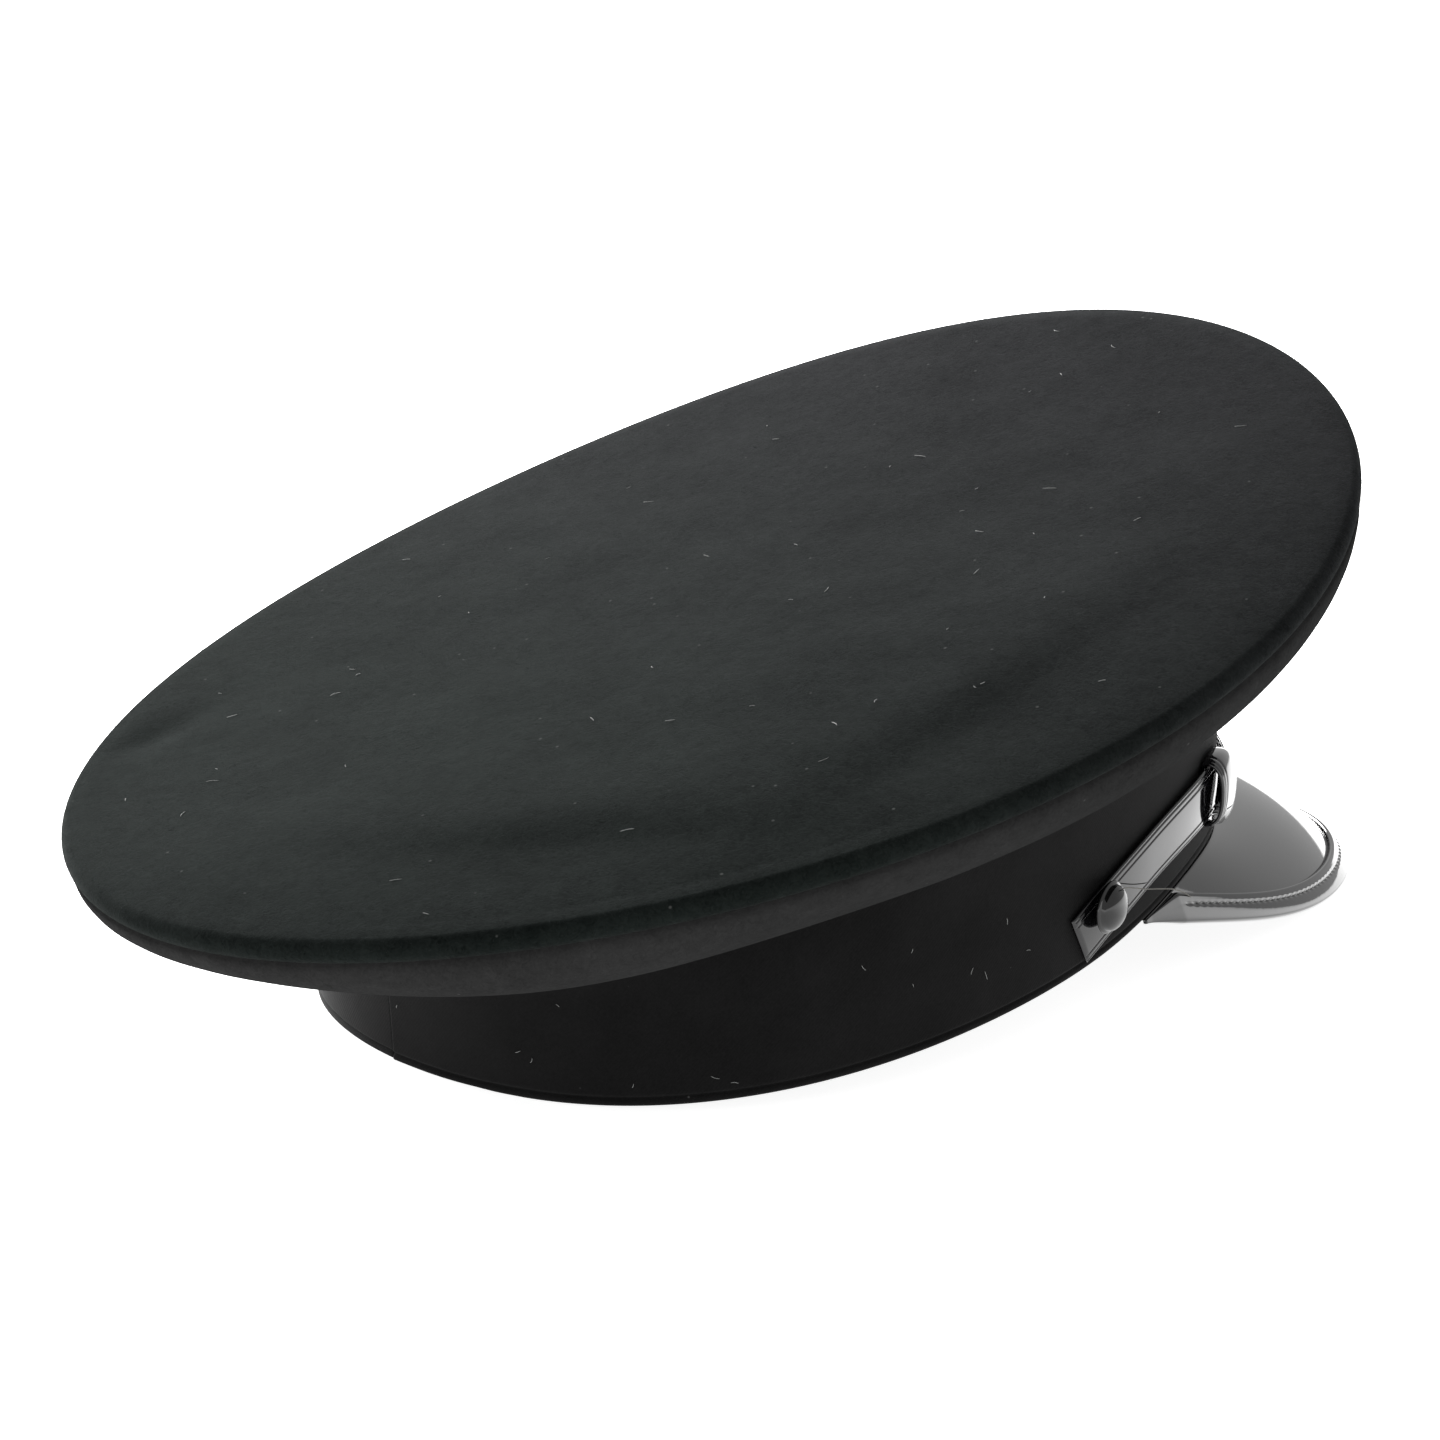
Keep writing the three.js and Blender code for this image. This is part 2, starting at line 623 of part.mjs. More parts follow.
// The body without what lies below the surface it rests on
function flattenedOnFloor(geometry, pitch, level) {
  const box = new THREE.BoxGeometry(FLOOR_BLOCK, FLOOR_BLOCK, FLOOR_BLOCK);
  box.deleteAttribute("normal");
  box.deleteAttribute("uv");
  const floor = mergeVertices(box).translate(0, 0, level - FLOOR_BLOCK / 2).rotateX(pitch);
  const cut = toManifold(geometry).subtract(toManifold(floor)).getMesh();
  const result = new THREE.BufferGeometry();
  result.setAttribute("position", new THREE.Float32BufferAttribute(cut.vertProperties, 3));
  result.setIndex(Array.from(cut.triVerts));
  return result;
}

function named(name, shape, finish) {
  const mesh = shape.isMesh ? shape : new THREE.Mesh(shape);
  mesh.name = name;
  mesh.material = new THREE.MeshStandardMaterial(finish);
  return mesh;
}

const bandBody = band();
const bindingBody = peakBinding();
const pitch = restPitch(bandBody, bindingBody);
const floorLevel = lowest(bandBody, pitch) + FOOT_FLAT;

const chauffeurCap = new THREE.Group();
chauffeurCap.add(
  named("crown_top", crownTop(), FELT),
  named("crown_side", crownSide(), FELT),
  named("band", flattenedOnFloor(bandBody, pitch, floorLevel), BAND_CLOTH),
  named("peak", peak(), PATENT),
  named("peak_binding", flattenedOnFloor(bindingBody, pitch, floorLevel), PATENT),
  named("strap_right", strap(-STRAP_TAIL_ANGLE, STRAP_INNER_END, innerLayer), PATENT),
  named("strap_left", strap(-STRAP_INNER_END, STRAP_TAIL_ANGLE, outerLayer), PATENT),
);
for (const [word, side] of [["right", -1], ["left", 1]]) {
  chauffeurCap.add(
    named(`keeper_${word}`, keeper(side), PATENT),
    named(`button_${word}`, button(side), PATENT),
  );
}

// The cap stands on z = 0, with the middle of its box above the origin
chauffeurCap.rotation.x = -pitch;
const cap3d = new THREE.Group();
cap3d.add(chauffeurCap);
cap3d.updateMatrixWorld(true);
const box = new THREE.Box3().setFromObject(cap3d, true);
const middle = box.getCenter(new THREE.Vector3());
chauffeurCap.position.set(-middle.x, -middle.y, -floorLevel);

export default cap3d;
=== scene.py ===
"""Chauffeur cap: felt crown, cloth band, patent peak with a sewn binding, patent chin strap with
keepers and buttons. Every fine piece is worked out from the same sizes as its solid; only two dents
of the crown are deeper here than in the solid.

The shapes are drawn in millimetres, level on the band, with the front towards -Y and the wearer's
right towards -X. cap_to_frame() pitches them to where the cap rests and turns them into metres.
"""
import math
import random

import bpy
import numpy as np
from mathutils import Matrix, Vector


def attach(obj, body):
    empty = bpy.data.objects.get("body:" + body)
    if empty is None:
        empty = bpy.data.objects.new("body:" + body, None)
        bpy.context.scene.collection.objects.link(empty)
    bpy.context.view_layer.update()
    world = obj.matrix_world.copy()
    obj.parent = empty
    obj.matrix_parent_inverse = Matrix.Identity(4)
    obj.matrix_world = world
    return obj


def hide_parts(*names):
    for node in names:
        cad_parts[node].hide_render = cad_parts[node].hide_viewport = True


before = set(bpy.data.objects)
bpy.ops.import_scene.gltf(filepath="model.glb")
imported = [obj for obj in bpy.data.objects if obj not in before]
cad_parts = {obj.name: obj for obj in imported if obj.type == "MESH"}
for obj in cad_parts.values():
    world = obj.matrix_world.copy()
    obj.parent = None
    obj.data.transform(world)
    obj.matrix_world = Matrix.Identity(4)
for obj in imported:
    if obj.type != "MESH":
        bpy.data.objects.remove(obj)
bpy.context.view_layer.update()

# Camera: where it stands in metres, and how it looks, in degrees
CAMERA_PLACE = (-0.5650, 0.4454, 0.2338)
CAMERA_AZIMUTH = 232.61
CAMERA_ELEVATION = 14.11
CAMERA_ROLL = -1.755
CAMERA_LENS = 86.7
SENSOR_WIDTH = 36

# Where the cap rests: its pitch, front up, and how far it is moved, in millimetres
REST_PITCH = 9.201
REST_SHIFT = (0.0, -0.480, 15.412)

# Band
BAND_HALF_LENGTH = 100
BAND_HALF_WIDTH = 85
BAND_HEIGHT = 36
BAND_WALL = 2.6
BAND_EGG = 0.08
BAND_FULLNESS = 0.043
BAND_TOP_WIDENING = 4.3
BAND_TOP_FORWARD = 4.5
BAND_SIDE_SAG = 1.73

# The band's lower edge rises where the corners of the peak are sewn to it
BAND_FOOT_RISE = 3.1
BAND_FOOT_ANGLE = 60
BAND_FOOT_SPREAD = 15

# Rim of the crown
RIM_HALF_LENGTH = 140.7
RIM_HALF_WIDTH = 126.2
RIM_EGG = -0.06
RIM_CENTRE_Y = 7.85
RIM_CENTRE_Z = 65.3
RIM_TILT = math.radians(7.8)
RIM_SADDLE = 4.8
RIM_FRONT_LIFT = 1.0
RIM_ROLL_RADIUS = 2.5

# Walls of the crown
TOP_WALL = 1.7
SIDE_WALL = 1.6
TOP_DISH = 1.5
SHOULDER_RISE = 3.8
SHOULDER_HEADING = math.radians(-115)
SHOULDER_REACH = (-0.3, 0.8)
SHOULDER_POWER = 6
SIDE_SEAM_IN = 0.3
SIDE_SEAM_DROP = 2.7
SIDE_FOOT_OUT = 0.6
SIDE_FOOT_IN = 1.9
SIDE_FOOT_THICKNESS = 1.7
SIDE_INNER_END = 0.93

# Peak and its binding
PEAK_WIDTH = 63.4
PEAK_HALF_ANGLE = 72
PEAK_END_ANGLE = 71.4
PEAK_TAPER = 1.2
PEAK_SLOPE_FRONT = 37.3
PEAK_SLOPE_CORNER = 87
PEAK_SLOPE_POWER = 2.5
PEAK_BEND = 37
PEAK_FAN = 0.35
PEAK_SHEET = 1.6
PEAK_TUCK = 1.5
BINDING_WIDTH = 6.5
BINDING_SKIN = 1.0
BINDING_END_SHARE = 0.95

# Chin strap, keepers and buttons
STRAP_WIDTH = 12.4
STRAP_EDGE = 0.7
STRAP_DOME = 1.0
STRAP_FRONT_HEIGHT = 6.9
STRAP_FRONT_TO_SIDE = (36, 57)
STRAP_CREST_ANGLE = 59.5
STRAP_CREST_HEIGHT = 17.95
STRAP_FALL = 0.015
STRAP_TAIL_ANGLE = 85.5
STRAP_INNER_END = 51
LAYER_DROP = (51.4, 58.5)
BUTTON_ANGLE = 81.3
BUTTON_ABOVE_MIDDLE = 2.9
BUTTON_TILT = math.radians(9)
BUTTON_RADIUS = 5.4
BUTTON_HEIGHT = 3.8
BUTTON_BACK_SHARE = 0.8
KEEPER_REAR_ANGLE = 57.4
KEEPER_FRONT_ANGLE = 50.4
KEEPER_REAR_HALF_WIDTH = 6.6
KEEPER_FRONT_HALF_WIDTH = 7.4
KEEPER_RISE = 3.5
KEEPER_WALL = 0.8
KEEPER_BACK_WALL = 0.6
KEEPER_ARCH_POWER = 0.8
KEEPER_BACK_POWER = 0.2

GAP = 0.3
UP = np.array((0.0, 0.0, 1.0))

# Step to either side for a direction, in degrees or millimetres
HALF_STEP = 0.5

# Waves of a loose surface: their number, the spread of their pace, and their gain
WAVE_COUNT = 7
WAVE_PACES = (0.7, 1.6)
WAVE_GAIN = 1.6

# How the side panel hangs, by angle from the front round by the wearer's left
SIDE_SHAPE = {
    "angle": (0, 40, 75, 110, 140, 165, 185, 202, 220, 245, 270, 300, 325, 360),
    "rim_drop": (15, 12, 10, 10, 10, 11, 8, 8, 16, 6, 9, 10, 15, 15),
    "foot_out": (7, 8, 10, 12, 14, 15, 17, 18, 12, 7, 4, 4, 6, 7),
    "foot_up": (9, 8, 5, 3, 1, 0, -2, -4, 4, 4, 6, 9, 9, 9),
}

# Soft dents of the top: centre, half length along a heading, half widths right and left of it, depth
DENTS = (
    {"x": -63, "y": 93, "heading": 32, "half_length": 40, "right": 9, "left": 22, "depth": 1.7},
    {"x": -100, "y": 14, "heading": 92, "half_length": 42, "right": 9, "left": 18, "depth": 1.4},
    {"x": 77, "y": 99, "heading": 98, "half_length": 11, "right": 6, "left": 6, "depth": 1.0},
)

# Line of the chin strap, by angle from the front
STRAP_LINE = {
    "angle": (0, 36, 57, 72, 90),
    "standoff": (0.55, 0.55, 1.45, 0.55, 0.55),
    "lean": (2, 2, 0, 2, 2),
}


def eased(value, low, high):
    """Share from 0 to 1 between two values, level at both ends."""
    t = np.clip((value - low) / (high - low), 0, 1)
    return t * t * (3 - 2 * t)


def column(table, angle, name):
    """Value of one column of a table at an angle, eased between its rows."""
    rows = np.array(table["angle"], float)
    values = np.array(table[name], float)
    a = np.clip(np.abs(angle), rows[0], rows[-1])
    low = np.clip(np.searchsorted(rows, a, side="left") - 1, 0, len(rows) - 2)
    return values[low] + (values[low + 1] - values[low]) * eased(a, rows[low], rows[low + 1])


def point(x, y, z):
    """Points from their three coordinates, each a number or an array."""
    return np.stack(np.broadcast_arrays(x, y, z), axis=-1).astype(float)


def unit(v):
    """Direction of each vector."""
    return v / np.linalg.norm(v, axis=-1, keepdims=True)


def scaled(direction, length):
    """Each direction times its own length."""
    return direction * np.asarray(length, float)[..., None]


def band_point(angle, height):
    """Point of the band's outer face at an angle from the front and a height."""
    f = np.radians(angle)
    share = np.asarray(height, float) / BAND_HEIGHT
    full = 1 + BAND_FULLNESS * np.sin(2 * f) ** 2
    half_width = BAND_HALF_WIDTH + BAND_TOP_WIDENING * share
    return point(
        half_width * np.sin(f) * (1 - BAND_EGG * np.cos(f)) * full,
        -BAND_HALF_LENGTH * np.cos(f) * full - BAND_TOP_FORWARD * share,
        height + BAND_SIDE_SAG * (np.cos(2 * f) - 1),
    )


def band_foot(angle):
    """Height of the band's lower edge at an angle."""
    turned = np.abs(np.mod(np.asarray(angle, float) + 180, 360) - 180)
    return BAND_FOOT_RISE * np.exp(-((turned - BAND_FOOT_ANGLE) / BAND_FOOT_SPREAD) ** 2)


def rim_point(angle):
    """Point of the rim's centre line."""
    f = np.radians(angle)
    forward = RIM_HALF_LENGTH * np.cos(f)
    saddle = RIM_SADDLE * np.cos(2 * f) + RIM_FRONT_LIFT * np.cos(3 * f)
    return point(
        RIM_HALF_WIDTH * np.sin(f) * (1 - RIM_EGG * np.cos(f)),
        RIM_CENTRE_Y - forward * math.cos(RIM_TILT),
        RIM_CENTRE_Z + forward * math.sin(RIM_TILT) + saddle,
    )


def outward(outline, angle):
    """Level direction that points out of a closed outline at an angle."""
    along = outline(angle + HALF_STEP) - outline(angle - HALF_STEP)
    return unit(np.cross(along, UP))


def band_outward(angle, height):
    return outward(lambda a: band_point(a, height), angle)


def beside_band(angle, height, off):
    return band_point(angle, height) + scaled(band_outward(angle, height), off)


def cap_to_frame(points):
    """From the cap's own level millimetres to metres where it rests."""
    pitch = math.radians(REST_PITCH)
    x, y, z = points[..., 0], points[..., 1], points[..., 2]
    turned = point(x, y * math.cos(pitch) + z * math.sin(pitch), z * math.cos(pitch) - y * math.sin(pitch))
    return (turned + np.array(REST_SHIFT)) / 1000


def waves(x, y, depth, seed, size):
    """Smooth seeded unevenness of about this depth, with bumps of about this size."""
    draw = random.Random(seed)
    total = 0
    for _ in range(WAVE_COUNT):
        turn = draw.uniform(0, 2 * math.pi)
        pace = 2 * math.pi / (size * draw.uniform(*WAVE_PACES))
        phase = draw.uniform(0, 2 * math.pi)
        total = total + np.sin(pace * (x * math.cos(turn) + y * math.sin(turn)) + phase)
    return depth * (total / WAVE_COUNT * WAVE_GAIN)


def bump_at(distance, half_width):
    """A round bump that fades with distance."""
    return np.exp(-(distance / half_width) ** 2)


def round_turns(count):
    """Even turns once round, in radians."""
    return np.arange(count) * 2 * math.pi / count


def grid_quads(rows, columns, ring_rows, ring_columns):
    """Quads of a grid of points, with the row and column index of each corner for its UV."""
    k = np.arange(rows if ring_rows else rows - 1)
    i = np.arange(columns if ring_columns else columns - 1)
    k, i = (a.ravel() for a in np.meshgrid(k, i, indexing="ij"))
    rows_of = np.stack([k, k, k + 1, k + 1], axis=-1)
    columns_of = np.stack([i, i + 1, i + 1, i], axis=-1)
    corners = (rows_of % rows) * columns + columns_of % columns
    return corners, rows_of, columns_of


def finished(name, points, faces, replaces, material, uv=None):
    """Mesh object from points in the cap's millimetres, riding on the cap's body."""
    placed = cap_to_frame(points)
    placed[:, 2] = np.maximum(placed[:, 2], 0)
    faces = [tuple(int(i) for i in face) for face in faces]
    triangles = np.array([(f[0], f[j], f[j + 1]) for f in faces for j in range(1, len(f) - 1)])
    a, b, c = (placed[triangles[:, j]] for j in range(3))
    if np.einsum("ij,ij->i", a, np.cross(b, c)).sum() < 0:
        faces = [face[::-1] for face in faces]
        uv = None if uv is None else [corner[::-1] for corner in uv]
    mesh = bpy.data.meshes.new(name)
    mesh.from_pydata(placed.tolist(), [], faces)
    if uv is not None:
        layer = mesh.uv_layers.new(name="cloth")
        layer.data.foreach_set("uv", np.concatenate([np.asarray(c, float) for c in uv]).ravel())
    mesh.polygons.foreach_set("use_smooth", [True] * len(mesh.polygons))
    mesh.materials.append(material)
    mesh.validate()
    piece = bpy.data.objects.new(name, mesh)
    bpy.context.scene.collection.objects.link(piece)
    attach(piece, "root")
    if replaces:
        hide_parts(*replaces)
    return piece


def swept(name, sections, closed, replaces, material, along=None, across=None):
    """Piece through closed sections, once round the cap or from one end to the other."""
    rows, columns = sections.shape[:2]
    corners, rows_of, columns_of = grid_quads(rows, columns, closed, True)
    faces = list(corners)
    uv = None
    if along is not None:
        uv = list(np.stack([np.asarray(along)[rows_of], np.asarray(across)[columns_of]], axis=-1))
    if not closed:
        last = (rows - 1) * columns
        faces.append(list(range(columns))[::-1])
        faces.append(list(range(last, last + columns)))
        if uv is not None:
            uv += [np.zeros((columns, 2)), np.zeros((columns, 2))]
    return finished(name, sections.reshape(-1, 3), faces, replaces, material, uv)


def running_length(points, ring):
    """Length in metres from the first point to each, once round if it is a ring."""
    if ring:
        points = np.concatenate([points, points[:1]])
    steps = np.linalg.norm(np.diff(points, axis=0), axis=-1)
    return np.concatenate([[0], np.cumsum(steps)]) / 1000


# Materials

# Part of a noise's values that is used, from its low to its high ones
NOISE_RANGE = (0.3, 0.7)

# Felt: sizes of its unevenness in metres, the share of each in its tone, and the span along Y over which its
# painted shade comes in, darker and greener towards the back
FELT_CLOUD = 0.035
FELT_TUFT = 0.0045
FELT_TANGLE = 0.0012
FELT_TANGLE_TWIST = 1.5
FELT_SHARES = (0.25, 0.2, 0.55)
FELT_PAINTED_SHADE_SPAN = (-0.09, 0.07)
FELT_SPECKS = {"spacing": 0.0075, "radius": 0.0004}
FELT_SHEEN_TINT = (0.93, 0.96, 0.96, 1)

# Band cloth: how close its twill lies, and the sizes of its grain, clouds and specks in metres
TWILL_SCALE = 700
TWILL_WANDER = 0.8
CLOTH_GRAIN = 0.0006
CLOTH_CLOUD = 0.015
CLOTH_SPECKS = {"spacing": 0.009, "radius": 0.0003}

# Patent: sizes of its orange peel and its dull touches in metres, and how far they change its roughness
PATENT_PEEL = 0.0035
PATENT_TOUCH = 0.012
PATENT_TOUCH_RANGE = (0.35, 0.75)
PATENT_DULLING = (0.7, 1.8)

THREAD_GRAIN = 0.0003
THREAD_DIM = 0.6


class Nodes:
    """A material's node tree, with short ways to add what the materials below share."""

    def __init__(self, name):
        self.material = bpy.data.materials.new(name)
        self.material.use_nodes = True
        self.tree = self.material.node_tree
        self.shader = self.tree.nodes["Principled BSDF"]

    def give(self, socket, value):
        """Put a value in a socket, or link an output to it."""
        if isinstance(value, bpy.types.NodeSocket):
            self.tree.links.new(value, socket)
        else:
            socket.default_value = value

    def add(self, kind, inputs, **settings):
        """New node with these settings, and with values or outputs in its inputs."""
        node = self.tree.nodes.new(kind)
        for name, value in settings.items():
            setattr(node, name, value)
        for name, value in inputs.items():
            self.give(node.inputs[name], value)
        return node

    def set(self, **values):
        """Give the shader values or outputs by the sockets' names, with _ for a space."""
        for name, value in values.items():
            self.give(self.shader.inputs[name.replace("_", " ")], value)

    def place(self):
        """The object's own coordinates, in metres."""
        return self.add("ShaderNodeTexCoord", {}).outputs["Object"]

    def noise(self, size, place, detail, roughness=0.55, tangle=0.0):
        """Noise whose bumps are about this size, in metres."""
        inputs = {"Vector": place, "Scale": 1 / size, "Detail": detail}
        inputs |= {"Roughness": roughness, "Distortion": tangle}
        return self.add("ShaderNodeTexNoise", inputs).outputs["Fac"]

    def specks(self, place, spacing, radius):
        """1 on small round specks that lie far apart, and 0 elsewhere."""
        cells = self.add("ShaderNodeTexVoronoi", {"Vector": place, "Scale": 1 / spacing})
        return self.ranged(cells.outputs["Distance"], 0.5 * radius / spacing, radius / spacing, 1, 0)

    def ranged(self, value, low, high, to_low, to_high):
        """Value carried from one range to another and held inside it."""
        inputs = {"Value": value, "From Min": low, "From Max": high, "To Min": to_low, "To Max": to_high}
        return self.add("ShaderNodeMapRange", inputs).outputs["Result"]

    def total(self, values):
        """Sum of several outputs."""
        total = values[0]
        for value in values[1:]:
            total = self.add("ShaderNodeMath", {0: total, 1: value}, operation="ADD").outputs["Value"]
        return total

    def blend(self, share, first, second):
        """Colour between two, each a tuple or an output."""
        node = self.add("ShaderNodeMix", {}, data_type="RGBA")
        self.give(node.inputs["Factor"], share)
        colours = [socket for socket in node.inputs if socket.type == "RGBA"]
        for socket, value in zip(colours, (first, second)):
            self.give(socket, (*value, 1) if isinstance(value, tuple) else value)
        return next(output for output in node.outputs if output.type == "RGBA")

    def bump(self, height, distance, strength, below=None):
        """Normal of a relief this deep in metres, over another one."""
        inputs = {"Height": height, "Distance": distance, "Strength": strength}
        if below is not None:
            inputs["Normal"] = below
        return self.add("ShaderNodeBump", inputs).outputs["Normal"]


def felt_material(name, front, back, speck, sheen):
    """Fine felt: a tangle of short fibres with pale specks and a soft nap, blended towards a second pair of
    tones at the back as painted shade.

    front and back are each a dark and a light tone; the back pair is the painted shade.
    """
    felt = Nodes(name)
    place = felt.place()
    cloud = felt.noise(FELT_CLOUD, place, detail=4)
    tuft = felt.noise(FELT_TUFT, place, detail=3)
    tangle = felt.noise(FELT_TANGLE, place, detail=5, roughness=0.7, tangle=FELT_TANGLE_TWIST)
    noises = zip((cloud, tuft, tangle), FELT_SHARES)
    share = felt.total([felt.ranged(noise, *NOISE_RANGE, 0.0, most) for noise, most in noises])
    apart = felt.add("ShaderNodeSeparateXYZ", {"Vector": place})
    # painted shade: the tone blends from the front pair to the back pair towards the back
    painted_shade_share = felt.ranged(apart.outputs["Y"], *FELT_PAINTED_SHADE_SPAN, 0, 1)
    tone = felt.blend(painted_shade_share, felt.blend(share, *front), felt.blend(share, *back))
    tone = felt.blend(felt.specks(place, **FELT_SPECKS), tone, speck)
    normal = felt.bump(tuft, distance=0.0004, strength=0.25)
    normal = felt.bump(tangle, distance=0.00025, strength=0.6, below=normal)
    felt.set(Base_Color=tone, Normal=normal, Roughness=0.95, Specular_IOR_Level=0.0)
    felt.set(Sheen_Weight=sheen, Sheen_Roughness=0.4, Sheen_Tint=FELT_SHEEN_TINT)
    return felt.material


def cloth_material(name, dark, light, speck):
    """Black band cloth: a fine twill, faintly mottled, with a few pale specks."""
    cloth = Nodes(name)
    laid = cloth.add("ShaderNodeUVMap", {}, uv_map="cloth").outputs["UV"]
    inputs = {"Vector": laid, "Scale": TWILL_SCALE, "Distortion": TWILL_WANDER, "Detail": 1.0}
    twill = cloth.add("ShaderNodeTexWave", inputs, wave_type="BANDS", bands_direction="DIAGONAL")
    place = cloth.place()
    grain = cloth.noise(CLOTH_GRAIN, place, detail=4, roughness=0.7)
    cloud = cloth.noise(CLOTH_CLOUD, place, detail=4)
    share = cloth.total([cloth.ranged(noise, *NOISE_RANGE, 0.0, 0.5) for noise in (grain, cloud)])
    tone = cloth.blend(share, dark, light)
    tone = cloth.blend(cloth.specks(place, **CLOTH_SPECKS), tone, speck)
    normal = cloth.bump(twill.outputs["Fac"], distance=0.0001, strength=0.15)
    normal = cloth.bump(grain, distance=0.00012, strength=0.35, below=normal)
    cloth.set(Base_Color=tone, Normal=normal, Roughness=0.9, Specular_IOR_Level=0.08)
    cloth.set(Sheen_Weight=0.06, Sheen_Roughness=0.5)
    return cloth.material


def patent_material(name, base, roughness, ripple, coat):
    """Patent leather: a black lacquer with a faint orange peel and a few dull touches."""
    patent = Nodes(name)
    place = patent.place()
    peel = patent.noise(PATENT_PEEL, place, detail=2)
    touch = patent.noise(PATENT_TOUCH, place, detail=5, roughness=0.7)
    clear, dull = (roughness * share for share in PATENT_DULLING)
    gloss = patent.ranged(touch, *PATENT_TOUCH_RANGE, clear, dull)
    patent.set(Roughness=gloss, Normal=patent.bump(peel, distance=ripple, strength=0.35))
    patent.set(Base_Color=(*base, 1), Coat_Weight=coat, Coat_Roughness=0.03)
    return patent.material


def thread_material(name, colour):
    """Thread or a fibre, with dull and lighter places along it."""
    thread = Nodes(name)
    grain = thread.noise(THREAD_GRAIN, thread.place(), detail=2)
    dim = tuple(THREAD_DIM * c for c in colour)
    thread.set(Base_Color=thread.blend(grain, dim, colour), Roughness=0.8, Sheen_Weight=0.3)
    return thread.material


FELT = felt_material(
    "felt",
    front=((0.0028, 0.0030, 0.0034), (0.0188, 0.0192, 0.0205)),
    # painted shade: the back tones are darker and greener, standing in for the side seen with less sheen
    back=((0.0020, 0.0030, 0.0027), (0.0153, 0.0188, 0.0175)),
    speck=(0.050, 0.052, 0.050),
    sheen=0.055,
)
SIDE_FELT = felt_material(
    "side_felt",
    front=((0.0120, 0.0122, 0.0122), (0.0320, 0.0322, 0.0322)),
    back=((0.0120, 0.0120, 0.0120), (0.0320, 0.0320, 0.0320)),
    speck=(0.050, 0.050, 0.050),
    sheen=0.01,
)
CLOTH = cloth_material(
    "band_cloth",
    dark=(0.0022, 0.0022, 0.0022),
    light=(0.0085, 0.0083, 0.0085),
    speck=(0.060, 0.060, 0.060),
)
PATENT = patent_material(
    "patent", base=(0.004, 0.004, 0.0045), roughness=0.04, ripple=0.00004, coat=0.45
)
PEAK_PATENT = patent_material(
    "peak_patent", base=(0.006, 0.006, 0.006), roughness=0.045, ripple=0.00003, coat=0.65
)
GLOSS = patent_material(
    "button_gloss", base=(0.003, 0.003, 0.003), roughness=0.02, ripple=0.000005, coat=0.25
)
THREAD = thread_material("binding_thread", (0.006, 0.006, 0.006))
OLIVE = thread_material("loose_thread", (0.060, 0.052, 0.034))
LINT = thread_material("pale_lint", (0.30, 0.31, 0.30))


# Crown

RING_STEPS = 400

# The side's table is blurred by this many degrees, with weights as far as the reach
SOFTENING_DEGREES = 7
SOFTENING_REACH = 3 * SOFTENING_DEGREES

# Top: where its rings lie, how it flattens out towards the rim, and its loose waves
TOP_SHARES = np.concatenate([np.linspace(0.02, 0.9, 50), np.linspace(0.912, 0.975, 7)])
TOP_UNDER_SHARES = np.linspace(0.97, 0.05, 24)
TOP_CALM_POWER = 8
TOP_DISH_POWER = 4
TOP_WAVES = (
    {"depth": 0.35, "seed": 3, "size": 70},
    {"depth": 0.12, "seed": 4, "size": 24},
)

# Roll over the rim, in degrees from level; its inside has a third of the steps
ROLL_START = 78
ROLL_END = -70
ROLL_STEPS = 15
ROLL_INNER_STRIDE = 3

# Side panel: its steps, its loose waves and its creases, which slant down from an angle
SIDE_STEPS = 40
SIDE_INNER_STEPS = 20
SIDE_SLOPE_STEP = 0.01
SIDE_WAVES = {"depth": 0.30, "seed": 5, "size": 45}
SIDE_WAVES_ROUND = 1.6
SIDE_WAVES_DOWN = 60
CREASE_ANGLE = 209
CREASES = (
    {"down": 0.42, "slant": 0.005, "half_width": 0.022, "middle": 219, "half_length": 11, "depth": 0.5},
    {"down": 0.30, "slant": 0.004, "half_width": 0.018, "middle": 213, "half_length": 7, "depth": 0.35},
)

# Seam allowance of the side panel, hidden behind the end of the roll
SIDE_LIP_UP = 1.5
SIDE_LIP_IN = (1.1, 0.5)


def side_value(name, angles):
    """Column of the side's table round the cap, blurred so that its rows leave no ripple."""
    fine = np.arange(0, 360, 1.0)
    values = column(SIDE_SHAPE, fine, name)
    reach = np.arange(-SOFTENING_REACH, SOFTENING_REACH + 1)
    weights = bump_at(reach, SOFTENING_DEGREES * math.sqrt(2))
    weights = weights / weights.sum()
    soft = sum(w * np.roll(values, r) for w, r in zip(weights, reach))
    return np.interp(np.mod(angles, 360), np.append(fine, 360), np.append(soft, soft[0]))


def dent_depth(x, y):
    """Depth of all the dents together at a place of the top."""
    depth = np.zeros(np.shape(x))
    for dent in DENTS:
        h = math.radians(dent["heading"])
        dx = x - dent["x"]
        dy = y - dent["y"]
        along = (dx * math.cos(h) + dy * math.sin(h)) / dent["half_length"]
        beside = dy * math.cos(h) - dx * math.sin(h)
        across = beside / np.where(beside > 0, dent["left"], dent["right"])
        depth = depth + dent["depth"] * np.exp(-along ** 2 - across ** 2)
    return depth


def shoulder_rise(x, y, share):
    """Rise of the top towards one side, which ends in a shoulder that slopes down to the rim."""
    towards = x * math.sin(SHOULDER_HEADING) - (y - RIM_CENTRE_Y) * math.cos(SHOULDER_HEADING)
    side = eased(towards / RIM_HALF_LENGTH, *SHOULDER_REACH)
    return SHOULDER_RISE * side * (1 - share ** SHOULDER_POWER)


